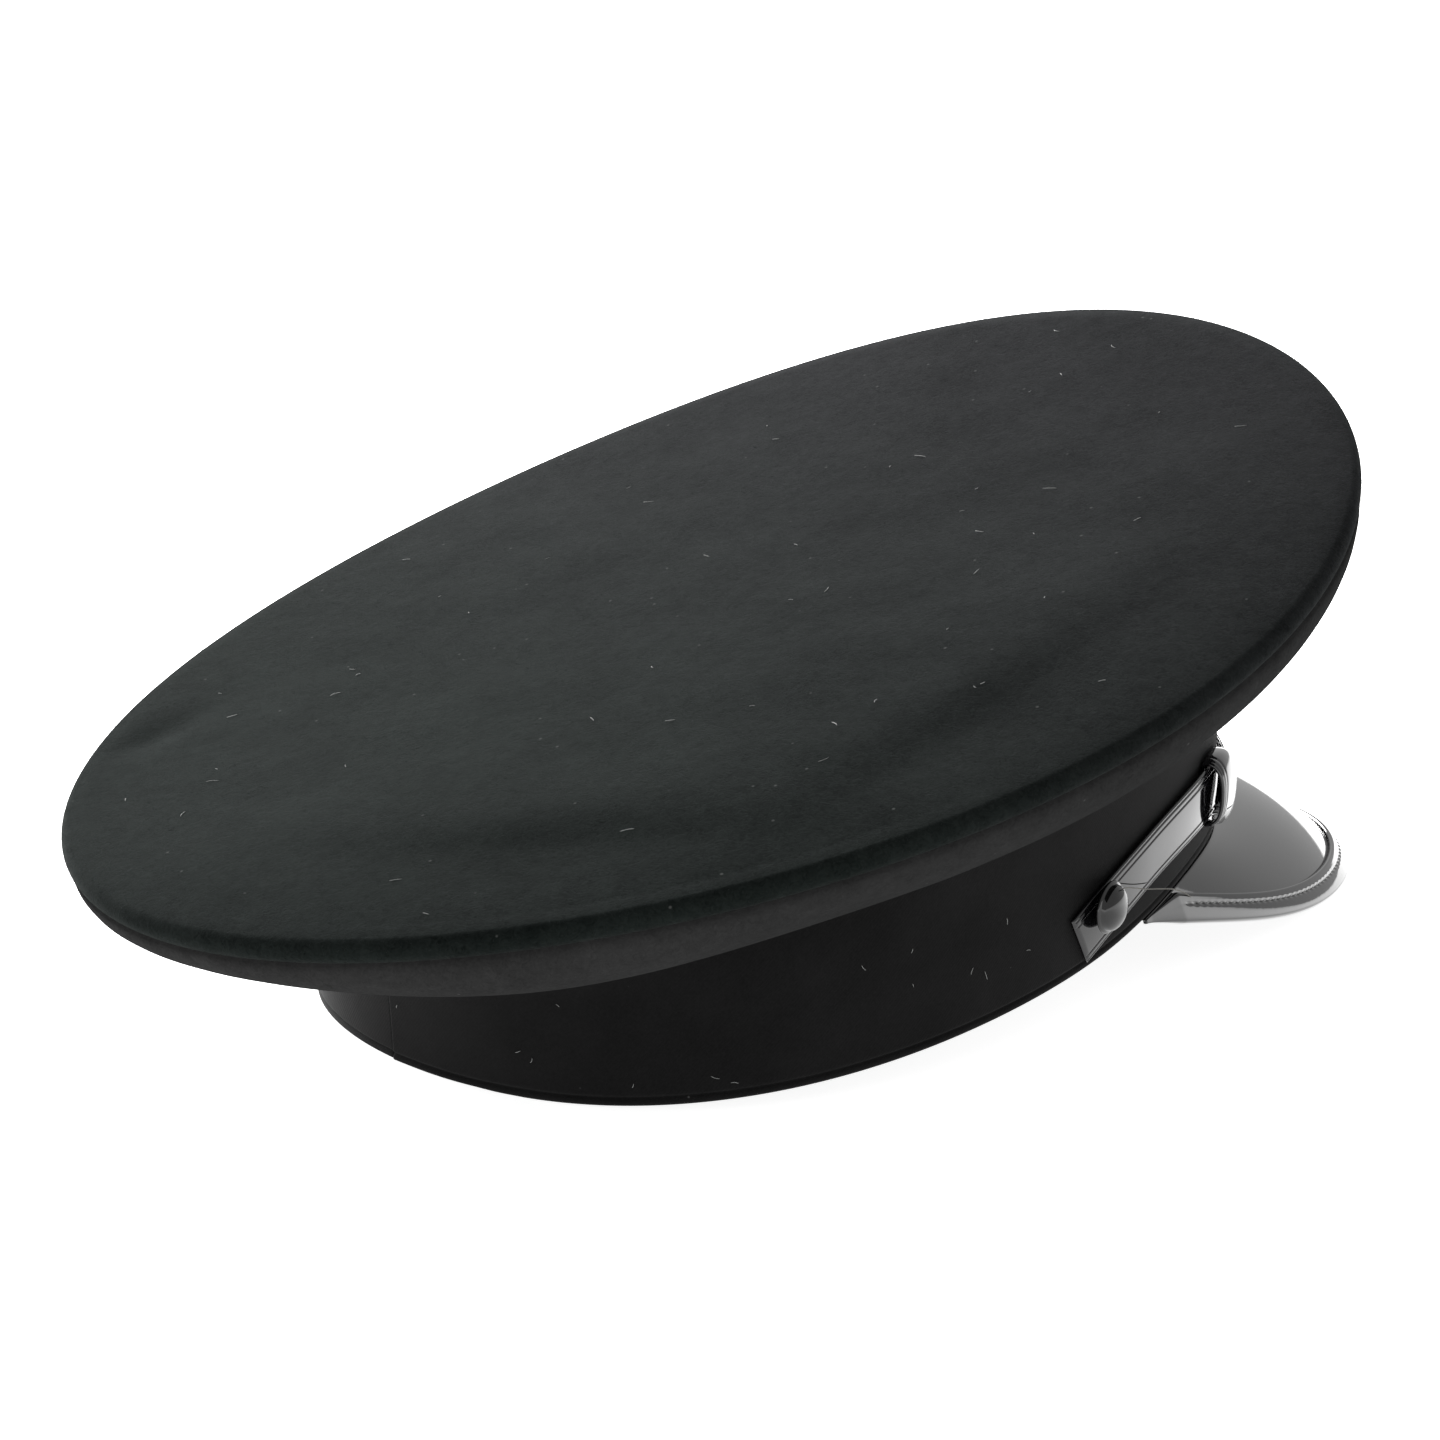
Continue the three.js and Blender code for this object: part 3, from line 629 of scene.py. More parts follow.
def top_point(angle, share):
    """Point of the crown's top face at a share of the way from its middle to the rim."""
    f = np.radians(angle)
    rim = rim_point(angle)
    x = rim[..., 0] * share
    y = RIM_CENTRE_Y + (rim[..., 1] - RIM_CENTRE_Y) * share
    plane = RIM_CENTRE_Z + RIM_HALF_LENGTH * np.cos(f) * math.sin(RIM_TILT) * share
    saddle = RIM_SADDLE * np.cos(2 * f) * share ** 2 + RIM_FRONT_LIFT * np.cos(3 * f) * share ** 3
    free = 1 - share ** TOP_CALM_POWER
    loose = sum(waves(x, y, **wave) * free for wave in TOP_WAVES)
    relief = shoulder_rise(x, y, share) - TOP_DISH * (1 - share ** TOP_DISH_POWER) - dent_depth(x, y)
    return point(x, y, plane + saddle + RIM_ROLL_RADIUS + relief + loose)


def crown_top():
    """The felt disc, from the middle of its face over the rim's roll to its under side."""
    turns = np.radians(np.linspace(ROLL_START, ROLL_END, ROLL_STEPS))
    angles = np.arange(RING_STEPS) * 360 / RING_STEPS
    a = angles[:, None]
    rim = rim_point(angles)[:, None, :]
    out = outward(rim_point, angles)[:, None, :]
    inner_radius = RIM_ROLL_RADIUS - TOP_WALL

    def roll(turn, radius):
        level = scaled(out, radius * np.cos(turn)[None, :])
        return rim + level + scaled(UP, radius * np.sin(turn)[None, :])

    sections = np.concatenate(
        [
            top_point(a, TOP_SHARES[None, :]),
            roll(turns, RIM_ROLL_RADIUS),
            roll(turns[::-ROLL_INNER_STRIDE], inner_radius),
            top_point(a, TOP_UNDER_SHARES[None, :]) - TOP_WALL * UP,
        ],
        axis=1,
    )
    rows, columns = sections.shape[:2]
    corners, _, _ = grid_quads(rows, columns, True, False)
    points = sections.reshape(-1, 3)
    middle = len(points)
    centre = top_point(np.array(0.0), np.array(0.0))
    points = np.concatenate([points, [centre], [centre - TOP_WALL * UP]])
    faces = list(corners)
    for k in range(rows):
        after = (k + 1) % rows
        faces.append((middle, k * columns, after * columns))
        faces.append((middle + 1, (after + 1) * columns - 1, (k + 1) * columns - 1))
    return finished("felt_top", points, faces, ["crown_top"], FELT)


def crown_side():
    """The felt panel that hangs from the seam in a curve and turns in to the band."""
    angles = np.arange(RING_STEPS) * 360 / RING_STEPS
    rim_out = outward(rim_point, angles)
    band_out = band_outward(angles, BAND_HEIGHT)
    band_top = band_point(angles, BAND_HEIGHT) + GAP * UP
    seam = rim_point(angles) + SIDE_SEAM_IN * rim_out - SIDE_SEAM_DROP * UP
    foot = band_top + SIDE_FOOT_OUT * band_out
    below_seam = seam - scaled(UP, side_value("rim_drop", angles))
    before_foot = foot + scaled(band_out, side_value("foot_out", angles))
    before_foot = before_foot + scaled(UP, side_value("foot_up", angles))

    def curve(t):
        t = t[None, :, None]
        a, b, c, d = (p[:, None, :] for p in (seam, below_seam, before_foot, foot))
        return a * (1 - t) ** 3 + 3 * b * t * (1 - t) ** 2 + 3 * c * t * t * (1 - t) + d * t ** 3

    def tangent(t):
        return unit(curve(t + SIDE_SLOPE_STEP) - curve(t - SIDE_SLOPE_STEP))

    side = np.cross(UP, band_out)[:, None, :]
    t_out = np.linspace(0, 1, SIDE_STEPS)
    t_in = np.linspace(SIDE_INNER_END, 0, SIDE_INNER_STEPS)
    outer = curve(t_out)
    inner = curve(t_in) + SIDE_WALL * unit(np.cross(tangent(t_in), side))
    normal = unit(np.cross(side, tangent(t_out)))
    a = angles[:, None]
    s = t_out[None, :]
    relief = waves(a * SIDE_WAVES_ROUND, s * SIDE_WAVES_DOWN, **SIDE_WAVES) * np.sin(math.pi * s)
    for crease in CREASES:
        line = crease["down"] - crease["slant"] * (a - CREASE_ANGLE)
        length = bump_at(a - crease["middle"], crease["half_length"])
        relief = relief - crease["depth"] * (bump_at(s - line, crease["half_width"]) * length)
    outer = outer + scaled(normal, relief)
    toe = band_top - SIDE_FOOT_IN * band_out
    heel = toe + SIDE_FOOT_THICKNESS * UP
    lip = np.stack([seam + SIDE_LIP_UP * UP - inset * rim_out for inset in SIDE_LIP_IN], axis=1)
    sections = np.concatenate([outer, toe[:, None, :], heel[:, None, :], inner, lip], axis=1)
    return swept("felt_side", sections, True, ["crown_side"], SIDE_FELT)


# Band

BAND_STEPS = 480
BAND_INNER_ROWS = np.linspace(2, BAND_HEIGHT, 10)

# Lap seam at the back: extra steps beside it in degrees, how far the upper layer stands out, over what
# length that fades, and the groove along its edge
LAP_ANGLE = 180.0
LAP_STEPS = (-2.0, -1.2, -0.7, -0.45, -0.3, -0.2, -0.1, 0.0, 0.1, 0.2, 0.35, 0.6, 1.0, 1.6)
LAP_STAND = 0.45
LAP_FADE = 9
LAP_GROOVE = 0.35
LAP_GROOVE_PLACE = 0.15
LAP_GROOVE_HALF_WIDTH = 0.28

# Hem: heights of the rows near it, its sewn line, the swell below, and its rounded edge as height and depth
BAND_ROWS = np.linspace(BAND_HEIGHT, 3.0, 24)
HEM_ROWS = (2.6, 2.3, 2.1, 1.9, 1.7, 1.5, 1.2, 0.9, 0.6)
HEM_LINE = 1.9
HEM_LINE_DEPTH = 0.32
HEM_LINE_HALF_WIDTH = 0.3
HEM_SWELL = 0.12
HEM_SWELL_HEIGHT = 0.9
HEM_SWELL_HALF_WIDTH = 0.7
HEM_EDGE = {
    "height": (0.3, 0.08, 0.0, 0.0, 0.3, 0.8),
    "depth": (0.15, 0.45, 0.9, 1.7, 2.3, BAND_WALL),
}

# Loose waves of the band, which fade out at the seam with the crown
BAND_WAVES = {"depth": 0.12, "seed": 8, "size": 40}
BAND_WAVES_UP = 1.5
BAND_CALM_HEIGHT = 3


def band():
    """The upright cloth band with its lap seam and its hem."""
    angles = np.arange(BAND_STEPS) * 360 / BAND_STEPS
    angles = np.unique(np.concatenate([angles, LAP_ANGLE + np.array(LAP_STEPS)]))
    heights = np.concatenate([BAND_ROWS, HEM_ROWS])
    sewn = -HEM_LINE_DEPTH * bump_at(heights - HEM_LINE, HEM_LINE_HALF_WIDTH)
    sewn = sewn + HEM_SWELL * bump_at(heights - HEM_SWELL_HEIGHT, HEM_SWELL_HALF_WIDTH)
    a = angles[:, None]
    h = heights[None, :]
    arc = (a - LAP_ANGLE) * math.pi / 180 * BAND_HALF_LENGTH
    lap = np.where(arc > 0, LAP_STAND * np.exp(-np.maximum(arc, 0) / LAP_FADE), 0)
    lap = lap - LAP_GROOVE * bump_at(arc + LAP_GROOVE_PLACE, LAP_GROOVE_HALF_WIDTH)
    loose = waves(arc, h * BAND_WAVES_UP, **BAND_WAVES)
    fade = np.clip((BAND_HEIGHT - h) / BAND_CALM_HEIGHT, 0, 1)
    foot = band_foot(a)
    squeeze = 1 - foot / BAND_HEIGHT
    outer = beside_band(a, foot + h * squeeze, sewn[None, :] + (lap + loose) * fade)
    hem = beside_band(a, foot + np.array(HEM_EDGE["height"]), -np.array(HEM_EDGE["depth"]) + 0 * a)
    inner = beside_band(a, foot + BAND_INNER_ROWS * squeeze, -BAND_WALL + 0 * a)
    sections = np.concatenate([outer, hem, inner], axis=1)
    along = running_length(band_point(angles, BAND_HEIGHT / 2), True)
    across = running_length(sections[0], True)
    return swept("band_cloth", sections, True, ["band"], CLOTH, along, across)


# Peak

PEAK_STEPS = 277
PEAK_ROWS = 34
CORNER_THINNEST = 0.2


def peak_width(angle):
    """Width of the peak from the band to its edge."""
    share = np.abs(angle) / PEAK_HALF_ANGLE
    return PEAK_WIDTH * np.cos(math.pi / 2 * share) ** PEAK_TAPER


def peak_sheet(angle, share):
    """Point of the peak's upper side at a share of its width, and the heading outwards there."""
    side = np.abs(angle) / PEAK_HALF_ANGLE
    steeper = (PEAK_SLOPE_CORNER - PEAK_SLOPE_FRONT) * side ** PEAK_SLOPE_POWER
    slope = np.radians(PEAK_SLOPE_FRONT + steeper)
    bend = math.radians(PEAK_BEND) * (1 - side ** 2)
    fan = np.radians(angle * PEAK_FAN)
    level = point(np.sin(fan), -np.cos(fan), 0)

    def heading(turn):
        return scaled(level, np.cos(turn)) - scaled(UP, np.sin(turn))

    start = slope - bend / 2
    half = bend * share / 2
    chord = peak_width(angle) * share * np.sinc(half / math.pi)
    root = beside_band(angle, band_foot(angle), 0) - GAP * UP
    return root + scaled(heading(start + half), chord), heading(start + 2 * half)


def peak_face(angle, share):
    """Upward face direction of the peak's sheet."""
    _, heading = peak_sheet(angle, share)
    along = peak_sheet(angle + HALF_STEP, share)[0] - peak_sheet(angle - HALF_STEP, share)[0]
    return unit(np.cross(heading, along))


def corner_taper(angle):
    """Share of the full thickness, which thins out in the peak's corners."""
    return np.clip(peak_width(angle) / BINDING_WIDTH, CORNER_THINNEST, 1)


def peak():
    """The stiff crescent, tucked under the front of the band."""
    angles = np.linspace(-PEAK_END_ANGLE, PEAK_END_ANGLE, PEAK_STEPS)
    a = angles[:, None]
    shares = np.linspace(0, 1, PEAK_ROWS)[None, :]
    thickness = PEAK_SHEET * corner_taper(angles)
    top, _ = peak_sheet(a, shares)
    under = (top - thickness[:, None, None] * peak_face(a, shares))[:, ::-1]
    tuck = beside_band(angles, band_foot(angles), -PEAK_TUCK) - GAP * UP
    low_tuck = tuck - scaled(UP, thickness)
    sections = np.concatenate([tuck[:, None, :], top, under, low_tuck[:, None, :]], axis=1)
    return swept("patent_peak", sections, False, ["peak"], PEAK_PATENT)


# Stitches of the binding: their pitch, distance from the hem, height, shares and where they begin
STITCH_PITCH = 2.75
STITCH_FROM_HEM = 2.7
STITCH_RADIUS = 0.24
STITCH_HEIGHT = 0.72
STITCH_HOLE = 0.14
SEWN_FROM_WIDTH = 1.3
SEWN_SHARE = STITCH_FROM_HEM / BINDING_WIDTH
STEPS_TO_STITCH = 6
EDGE_FINE_STEPS = 4001

# Face of the binding from its hem to the peak's edge, its rounded lip, its swell, and the groove that the
# stitches pull into it, which fades out towards the corners
FACE_SHARES = (0.0, 0.02, 0.05, 0.1, 0.18, 0.26, 0.32, 0.36, 0.40, 0.44, 0.48, 0.53, 0.6, 0.7, 0.8, 0.9, 1.0)
LIP = {"share": (0, 0.02, 0.05, 0.1), "height": (0.45, 0.8, 0.95, 1.0)}
UNDER_LIP = {"share": (0, 0.1, 1), "height": (0.4, 0.9, 1)}
UNDER_STEPS = 8
SWELL_HEIGHT = 0.05
SWELL_END = 1.05
GROOVE_HALF_WIDTH = 0.30
GROOVE_DEPTH = 0.08
GROOVE_PULL = 0.26
GROOVE_FULL_WIDTH = 1.4
EDGE_TURNS = np.radians(np.linspace(80, -80, 13))


def binding_angles(step_mm):
    """Angles that follow the peak's outer edge in even steps."""
    fine = np.linspace(-PEAK_END_ANGLE, PEAK_END_ANGLE, EDGE_FINE_STEPS)
    length = running_length(peak_sheet(fine, 1.0)[0], False) * 1000
    count = int(length[-1] / step_mm)
    marks = np.linspace(0, length[-1], count + 1)
    return np.interp(marks, length, fine), marks


def binding_flange(angles):
    """How far the binding reaches in from the peak's outer edge."""
    return np.minimum(BINDING_WIDTH, peak_width(angles) * BINDING_END_SHARE)


def on_binding(angles, over, beyond, up):
    """Point at a share of the way from the binding's hem to the peak's edge, and off its face."""
    a = angles[:, None]
    share = 1 - (binding_flange(angles) / peak_width(angles))[:, None] * (1 - over)
    place, heading = peak_sheet(a, share)
    return place + scaled(heading, beyond + 0 * share) + scaled(peak_face(a, share), up + 0 * share)


def peak_binding():
    """The strip folded over the peak's outer edge, puckered along its stitches."""
    angles, marks = binding_angles(STITCH_PITCH / STEPS_TO_STITCH)
    pull = 0.5 + 0.5 * np.cos(2 * math.pi * marks / STITCH_PITCH)
    over = np.array(FACE_SHARES)
    lip = np.interp(over, LIP["share"], LIP["height"])
    beyond_seam = np.clip((over - SEWN_SHARE) / (SWELL_END - SEWN_SHARE), 0, 1)
    swell = SWELL_HEIGHT * np.sin(math.pi * beyond_seam)
    sewn = eased(peak_width(angles), BINDING_WIDTH, GROOVE_FULL_WIDTH * BINDING_WIDTH)[:, None]
    groove = bump_at((over - SEWN_SHARE) * BINDING_WIDTH, GROOVE_HALF_WIDTH)[None, :] * sewn
    skin = BINDING_SKIN * (lip + swell)[None, :] - groove * (GROOVE_DEPTH + GROOVE_PULL * pull[:, None])
    taper = corner_taper(angles)[:, None]
    middle = -PEAK_SHEET / 2 * taper
    deep = (PEAK_SHEET / 2 + GAP + BINDING_SKIN) * taper
    edge = np.ones((1, len(EDGE_TURNS)))
    edge_out = GAP + BINDING_SKIN * taper * np.cos(EDGE_TURNS)
    under = np.linspace(1, 0, UNDER_STEPS)[None, :]
    under_skin = BINDING_SKIN * np.interp(under, UNDER_LIP["share"], UNDER_LIP["height"])
    inside = np.array([[0.0, 1.0, 1.0, 0.0]])
    inside_up = np.array([[-PEAK_SHEET - GAP, -PEAK_SHEET - GAP, GAP, GAP]])
    sections = np.concatenate(
        [
            on_binding(angles, over[None, :], GAP * over[None, :], (GAP + skin) * taper),
            on_binding(angles, edge, edge_out, deep * np.sin(EDGE_TURNS) + middle),
            on_binding(angles, under, GAP * under, -(PEAK_SHEET + GAP + under_skin) * taper),
            on_binding(angles, inside, GAP * inside, inside_up * taper),
        ],
        axis=1,
    )
    return swept("patent_binding", sections, False, ["peak_binding"], PATENT)


# Small rods: share of the radius from each end, and share of the radius there
ROD_SIDES = 6
ROD_STEEP = 0.9
ROD_ENDS = ((0.25, 0.6), (0.9, 1.0))


def square_to(axis):
    """Two directions square to an axis and to each other."""
    helper = np.where(np.abs(axis[..., 2:]) < ROD_STEEP, UP, np.array((1.0, 0.0, 0.0)))
    u = unit(np.cross(axis, helper))
    return u, np.cross(axis, u)


def capsule(start, end, radius):
    """Rings of a small round-ended rod, with the point at each end."""
    axis = unit(end - start)
    u, v = square_to(axis)
    length = np.linalg.norm(end - start)
    turns = round_turns(ROD_SIDES)
    circle = scaled(u, np.cos(turns)) + scaled(v, np.sin(turns))
    near = [(place * radius, size) for place, size in ROD_ENDS]
    far = [(length - place * radius, size) for place, size in ROD_ENDS[::-1]]
    rings = [start + axis * place + circle * radius * size for place, size in near + far]
    return np.concatenate([[start], *rings, [end]])


def capsule_faces(first):
    """Faces of one such rod, whose first point has this index."""
    rings = 2 * len(ROD_ENDS)
    last = first + 1 + (rings - 1) * ROD_SIDES
    faces = []
    for i in range(ROD_SIDES):
        j = (i + 1) % ROD_SIDES
        faces.append((first, first + 1 + j, first + 1 + i))
        for k in range(rings - 1):
            low = first + 1 + k * ROD_SIDES
            faces.append((low + i, low + j, low + ROD_SIDES + j, low + ROD_SIDES + i))
        faces.append((first + 1 + rings * ROD_SIDES, last + i, last + j))
    return faces


def binding_stitches():
    """Stitches that lie in the binding's groove, one from each hole to the next."""
    angles, _ = binding_angles(STITCH_PITCH)
    angles = angles[peak_width(angles) > SEWN_FROM_WIDTH * BINDING_WIDTH]
    height = GAP + STITCH_HEIGHT * BINDING_SKIN
    line = on_binding(angles, np.array([[SEWN_SHARE]]), 0, height)[:, 0, :]
    points = []
    faces = []
    for start, end in zip(line[:-1], line[1:]):
        hole = STITCH_HOLE * (end - start)
        faces += capsule_faces(sum(len(p) for p in points))
        points.append(capsule(start + hole, end - hole, STITCH_RADIUS))
    return finished("binding_stitches", np.concatenate(points), faces, [], THREAD)


# Chin strap

# Embossed lines along both borders of straps and keepers, as distances from the edge
BORDER_LINES = (0.75, 2.0)

# Strap: its steps, places across it, the dome of its face, its rounded edge and its lines
STRAP_STEPS = 280
STRAP_ACROSS = np.concatenate([[-1.0, -0.985], np.linspace(-0.95, 0.95, 85), [0.985, 1.0]])
STRAP_SWELL = 0.15
STRAP_DOME_POWER = 0.8
STRAP_ROUND = {"inset": (0, 0.1, 0.35, 0.6), "drop": (0.4, 0.18, 0.03, 0)}
STRAP_LINES = {"half_width": 0.2, "depth": 0.26}

# Keeper: its steps round and along, the swell between its borders, its lines and its rounded edge
KEEPER_SIDES = 120
KEEPER_SHARES = np.linspace(0, 1, 61)
KEEPER_SWELL = 0.12
KEEPER_SWELL_REACH = 3
KEEPER_LINES = {"half_width": 0.17, "depth": 0.28}
KEEPER_EDGE_HALF_WIDTH = 0.22
KEEPER_EDGE_DEPTH = 0.3

# Button: its flange as shares of its radius and height, and the dome that stands on it
BUTTON_SIDES = 64
BUTTON_FLANGE = {
    "size": (BUTTON_BACK_SHARE, 0.93, 1.0, 1.0, 0.965, 0.90, 0.875),
    "rise": (0.0, 0.05, 0.14, 0.20, 0.26, 0.275, 0.31),
}
DOME_TURNS = np.radians(np.linspace(18, 88, 15))
DOME_SIZE = 0.90
DOME_START = 0.27
DOME_RISE = 0.73


def strap_height(angle):
    """Height of the strap's middle: an arc along the side, level across the front."""
    a = np.abs(angle)
    arc = STRAP_CREST_HEIGHT - STRAP_FALL * (a - STRAP_CREST_ANGLE) ** 2
    at_side = eased(a, *STRAP_FRONT_TO_SIDE)
    return STRAP_FRONT_HEIGHT + (arc - STRAP_FRONT_HEIGHT) * at_side


def strap_point(angle, layer):
    """Point at the middle of the strap's back; layer 1 lies on layer 0."""
    lift = column(STRAP_LINE, angle, "standoff") + layer * (STRAP_DOME + GAP)
    return beside_band(angle, strap_height(angle), lift)


def strap_frame(angle, layer):
    """Directions out of the strap's face and up across its width."""
    height = strap_height(angle)
    along = unit(strap_point(angle + HALF_STEP, layer) - strap_point(angle - HALF_STEP, layer))
    wall_up = band_point(angle, height + HALF_STEP) - band_point(angle, height - HALF_STEP)
    out = unit(np.cross(along, wall_up))
    lean = np.radians(column(STRAP_LINE, angle, "lean"))
    side = np.cross(along, out)
    out = scaled(out, np.cos(lean)) + scaled(side, np.sin(lean))
    up = unit(np.cross(out, along))
    return out, up


def strap_layer(angle, outer):
    """Layer that a strap lies in, from 1 on top of the other to 0 on the band."""
    if not outer:
        return np.zeros(np.shape(angle))
    return 1 - eased(angle, *LAYER_DROP)


def border_lines(inset, half_width, depth):
    """Depth of the embossed lines at a distance from the edge."""
    return depth * sum(bump_at(inset - place, half_width) for place in BORDER_LINES)


def strap(name, node, start, end, outer):
    """A domed patent strap, embossed along both its borders."""
    angles = np.linspace(start, end, STRAP_STEPS)
    layer = strap_layer(angles, outer)
    out, up = strap_frame(angles, layer)
    back = strap_point(angles, layer)
    half = STRAP_WIDTH / 2
    across = STRAP_ACROSS * half
    inset = half - np.abs(across)
    dome = (1 - (across / half) ** 2) ** STRAP_DOME_POWER
    rise = STRAP_EDGE + (STRAP_DOME - STRAP_EDGE + STRAP_SWELL) * dome
    edge = -np.interp(inset, STRAP_ROUND["inset"], STRAP_ROUND["drop"])
    face = rise + edge - border_lines(inset, **STRAP_LINES)
    profile = np.concatenate([face, [0, 0, 0]])
    across = np.concatenate([across, [half, 0, -half]])
    sections = back[:, None, :] + scaled(up[:, None, :], across[None, :])
    sections = sections + scaled(out[:, None, :], profile[None, :])
    return swept(name, sections, False, [node], PATENT)


def keeper(word, side):
    """An arched patent loop round the strap, embossed along both its borders."""
    turns = (np.arange(KEEPER_SIDES) + 0.5) * 2 * math.pi / KEEPER_SIDES
    arched = np.cos(turns) > 0
    power = np.where(arched, KEEPER_ARCH_POWER, KEEPER_BACK_POWER)
    away = np.sign(np.cos(turns)) * np.abs(np.cos(turns)) ** power
    across = np.sign(np.sin(turns)) * np.abs(np.sin(turns)) ** power
    ends = strap_point(np.array([KEEPER_REAR_ANGLE, KEEPER_FRONT_ANGLE]), 0.0)
    length = np.linalg.norm(ends[0] - ends[1])
    inset = np.minimum(KEEPER_SHARES, 1 - KEEPER_SHARES) * length
    relief = KEEPER_SWELL * np.clip(inset / KEEPER_SWELL_REACH, 0, 1) - border_lines(inset, **KEEPER_LINES)
    relief = relief - KEEPER_EDGE_DEPTH * bump_at(inset, KEEPER_EDGE_HALF_WIDTH)
    reach = np.where(arched, KEEPER_RISE, GAP)
    wall = np.where(arched, KEEPER_WALL, KEEPER_BACK_WALL)
    inner = []
    outer = []
    turned = KEEPER_FRONT_ANGLE - KEEPER_REAR_ANGLE
    wider = KEEPER_FRONT_HALF_WIDTH - KEEPER_REAR_HALF_WIDTH
    for share, raised in zip(KEEPER_SHARES, relief):
        angle = np.array(side * (KEEPER_REAR_ANGLE + turned * share))
        half = KEEPER_REAR_HALF_WIDTH + wider * share
        out, up = strap_frame(angle, np.array(0.0))
        middle = strap_point(angle, np.array(0.0))
        thick = reach + (wall + np.where(arched, raised, 0))
        wide = half + KEEPER_WALL + raised
        inner.append(middle + scaled(out, away * reach) + scaled(up, across * half))
        outer.append(middle + scaled(out, away * thick) + scaled(up, across * wide))
    sections = np.concatenate([np.array(outer), np.array(inner)[::-1]]).transpose(1, 0, 2)
    return swept(f"patent_keeper_{word}", sections, True, [f"keeper_{word}"], PATENT)


def button(word, side):
    """A glossy dome on a narrow flange, tilted towards the front."""
    shape = list(zip(BUTTON_FLANGE["size"], BUTTON_FLANGE["rise"]))
    shape += [(DOME_SIZE * math.cos(t), DOME_START + DOME_RISE * math.sin(t)) for t in DOME_TURNS]
    angle = np.array(side * BUTTON_ANGLE, float)
    out, up = strap_frame(angle, np.array(0.0))
    lift = BUTTON_RADIUS * BUTTON_BACK_SHARE * math.sin(BUTTON_TILT)
    base = strap_point(angle, np.array(0.0)) + out * (STRAP_DOME + GAP + lift)
    base = base + up * BUTTON_ABOVE_MIDDLE
    out = out * math.cos(BUTTON_TILT) - side * np.cross(up, out) * math.sin(BUTTON_TILT)
    along = np.cross(up, out)
    turns = np.linspace(0, 2 * math.pi, BUTTON_SIDES, endpoint=False)
    circle = scaled(along, np.cos(turns)) + scaled(up, np.sin(turns))
    rings = [base + out * BUTTON_HEIGHT * rise + circle * BUTTON_RADIUS * size for size, rise in shape]
    points = np.concatenate([*rings, [base], [base + out * BUTTON_HEIGHT]])
    corners, _, _ = grid_quads(len(rings), len(turns), False, True)
    faces = list(corners)
    last = (len(rings) - 1) * len(turns)
    for i in range(len(turns)):
        j = (i + 1) % len(turns)
        faces.append((len(points) - 2, j, i))
        faces.append((len(points) - 1, last + i, last + j))
    return finished(f"gloss_button_{word}", points, faces, [f"button_{word}"], GLOSS)


# Fine fibres: the loose thread, lint and nap

# Route of the loose thread, from the button down over the corner of the peak
LOOSE_THREAD = {
    "x": (-90.9, -88.9, -86.0, -83.6, -80.9, -77.1, -74.7),
    "y": (-17.9, -21.6, -28.2, -34.4, -40.9, -48.3, -52.0),
    "z": (13.7, 12.0, 8.5, 5.6, 2.3, -3.0, -7.9),
}
LOOSE_RADIUS = 0.12
LOOSE_STEPS = 60
PATH_LAST = 1.0001

# How far fibres bend, and how thick their tips are
FIBRE_BEND = 1.4
FIBRE_TIP = 0.5
FIBRE_ASIDE = np.array((0.3, 0.8, 0.5))

# Nap: how many hairs stand on the roll and how far down it, and the rest on the top
NAP_COUNT = 5000
NAP_RADIUS = 0.022
NAP_LENGTHS = (0.4, 1.1)
NAP_LIFT = 0.9
NAP_ON_RIM = 0.6
NAP_DOWN_ROLL = 128
NAP_SHARES = (0.05, 0.97)

# Lint: every fourth fibre lies on the back and right side of the band, the rest on the top
LINT_COUNT = 70
LINT_RADIUS = 0.055
LINT_LENGTHS = (0.8, 3.2)
LINT_LIFT = 0.12
LINT_SHARES = (0.02, 0.9)
LINT_OFF_TOP = 0.05
LINT_BAND_EVERY = 4
LINT_BAND_ANGLES = (180, 290)
LINT_BAND_HEIGHTS = (3, 22)
LINT_BAND_OFF = 0.25
LINT_BAND_LENGTH = 0.6


def rods(paths, radius, sides):
    """Thin round rods along many paths with as many points each, closed at both ends."""
    count, steps = paths.shape[:2]
    ahead = np.roll(paths, -1, axis=1)
    behind = np.roll(paths, 1, axis=1)
    ahead[:, -1] = paths[:, -1]
    behind[:, 0] = paths[:, 0]
    u, v = square_to(unit(ahead - behind))
    turns = round_turns(sides)
    circle = u[:, :, None] * np.cos(turns)[:, None] + v[:, :, None] * np.sin(turns)[:, None]
    thick = radius * np.where(np.isin(np.arange(steps), (0, steps - 1)), FIBRE_TIP, 1.0)
    points = (paths[:, :, None] + circle * thick[:, None, None]).reshape(-1, 3)
    corners, _, _ = grid_quads(steps, sides, False, True)
    ends = [list(range(sides))[::-1], list(range((steps - 1) * sides, steps * sides))]
    faces = []
    for k in range(count):
        first = k * steps * sides
        faces += list(corners + first)
        faces += [[first + i for i in end] for end in ends]
    return points, faces


def smooth_path(table, count):
    """Points on a smooth curve through a table of places."""
    known = np.array([table["x"], table["y"], table["z"]], float).T
    ends = np.concatenate([[2 * known[0] - known[1]], known, [2 * known[-1] - known[-2]]])
    path = []
    for place in np.linspace(0, len(known) - PATH_LAST, count):
        k = int(place)
        t = place - k
        a, b, c, d = ends[k:k + 4]
        bend = 2 * a - 5 * b + 4 * c - d
        path.append(b + 0.5 * t * (c - a + t * (bend + t * (3 * (b - c) + d - a))))
    return np.array(path)


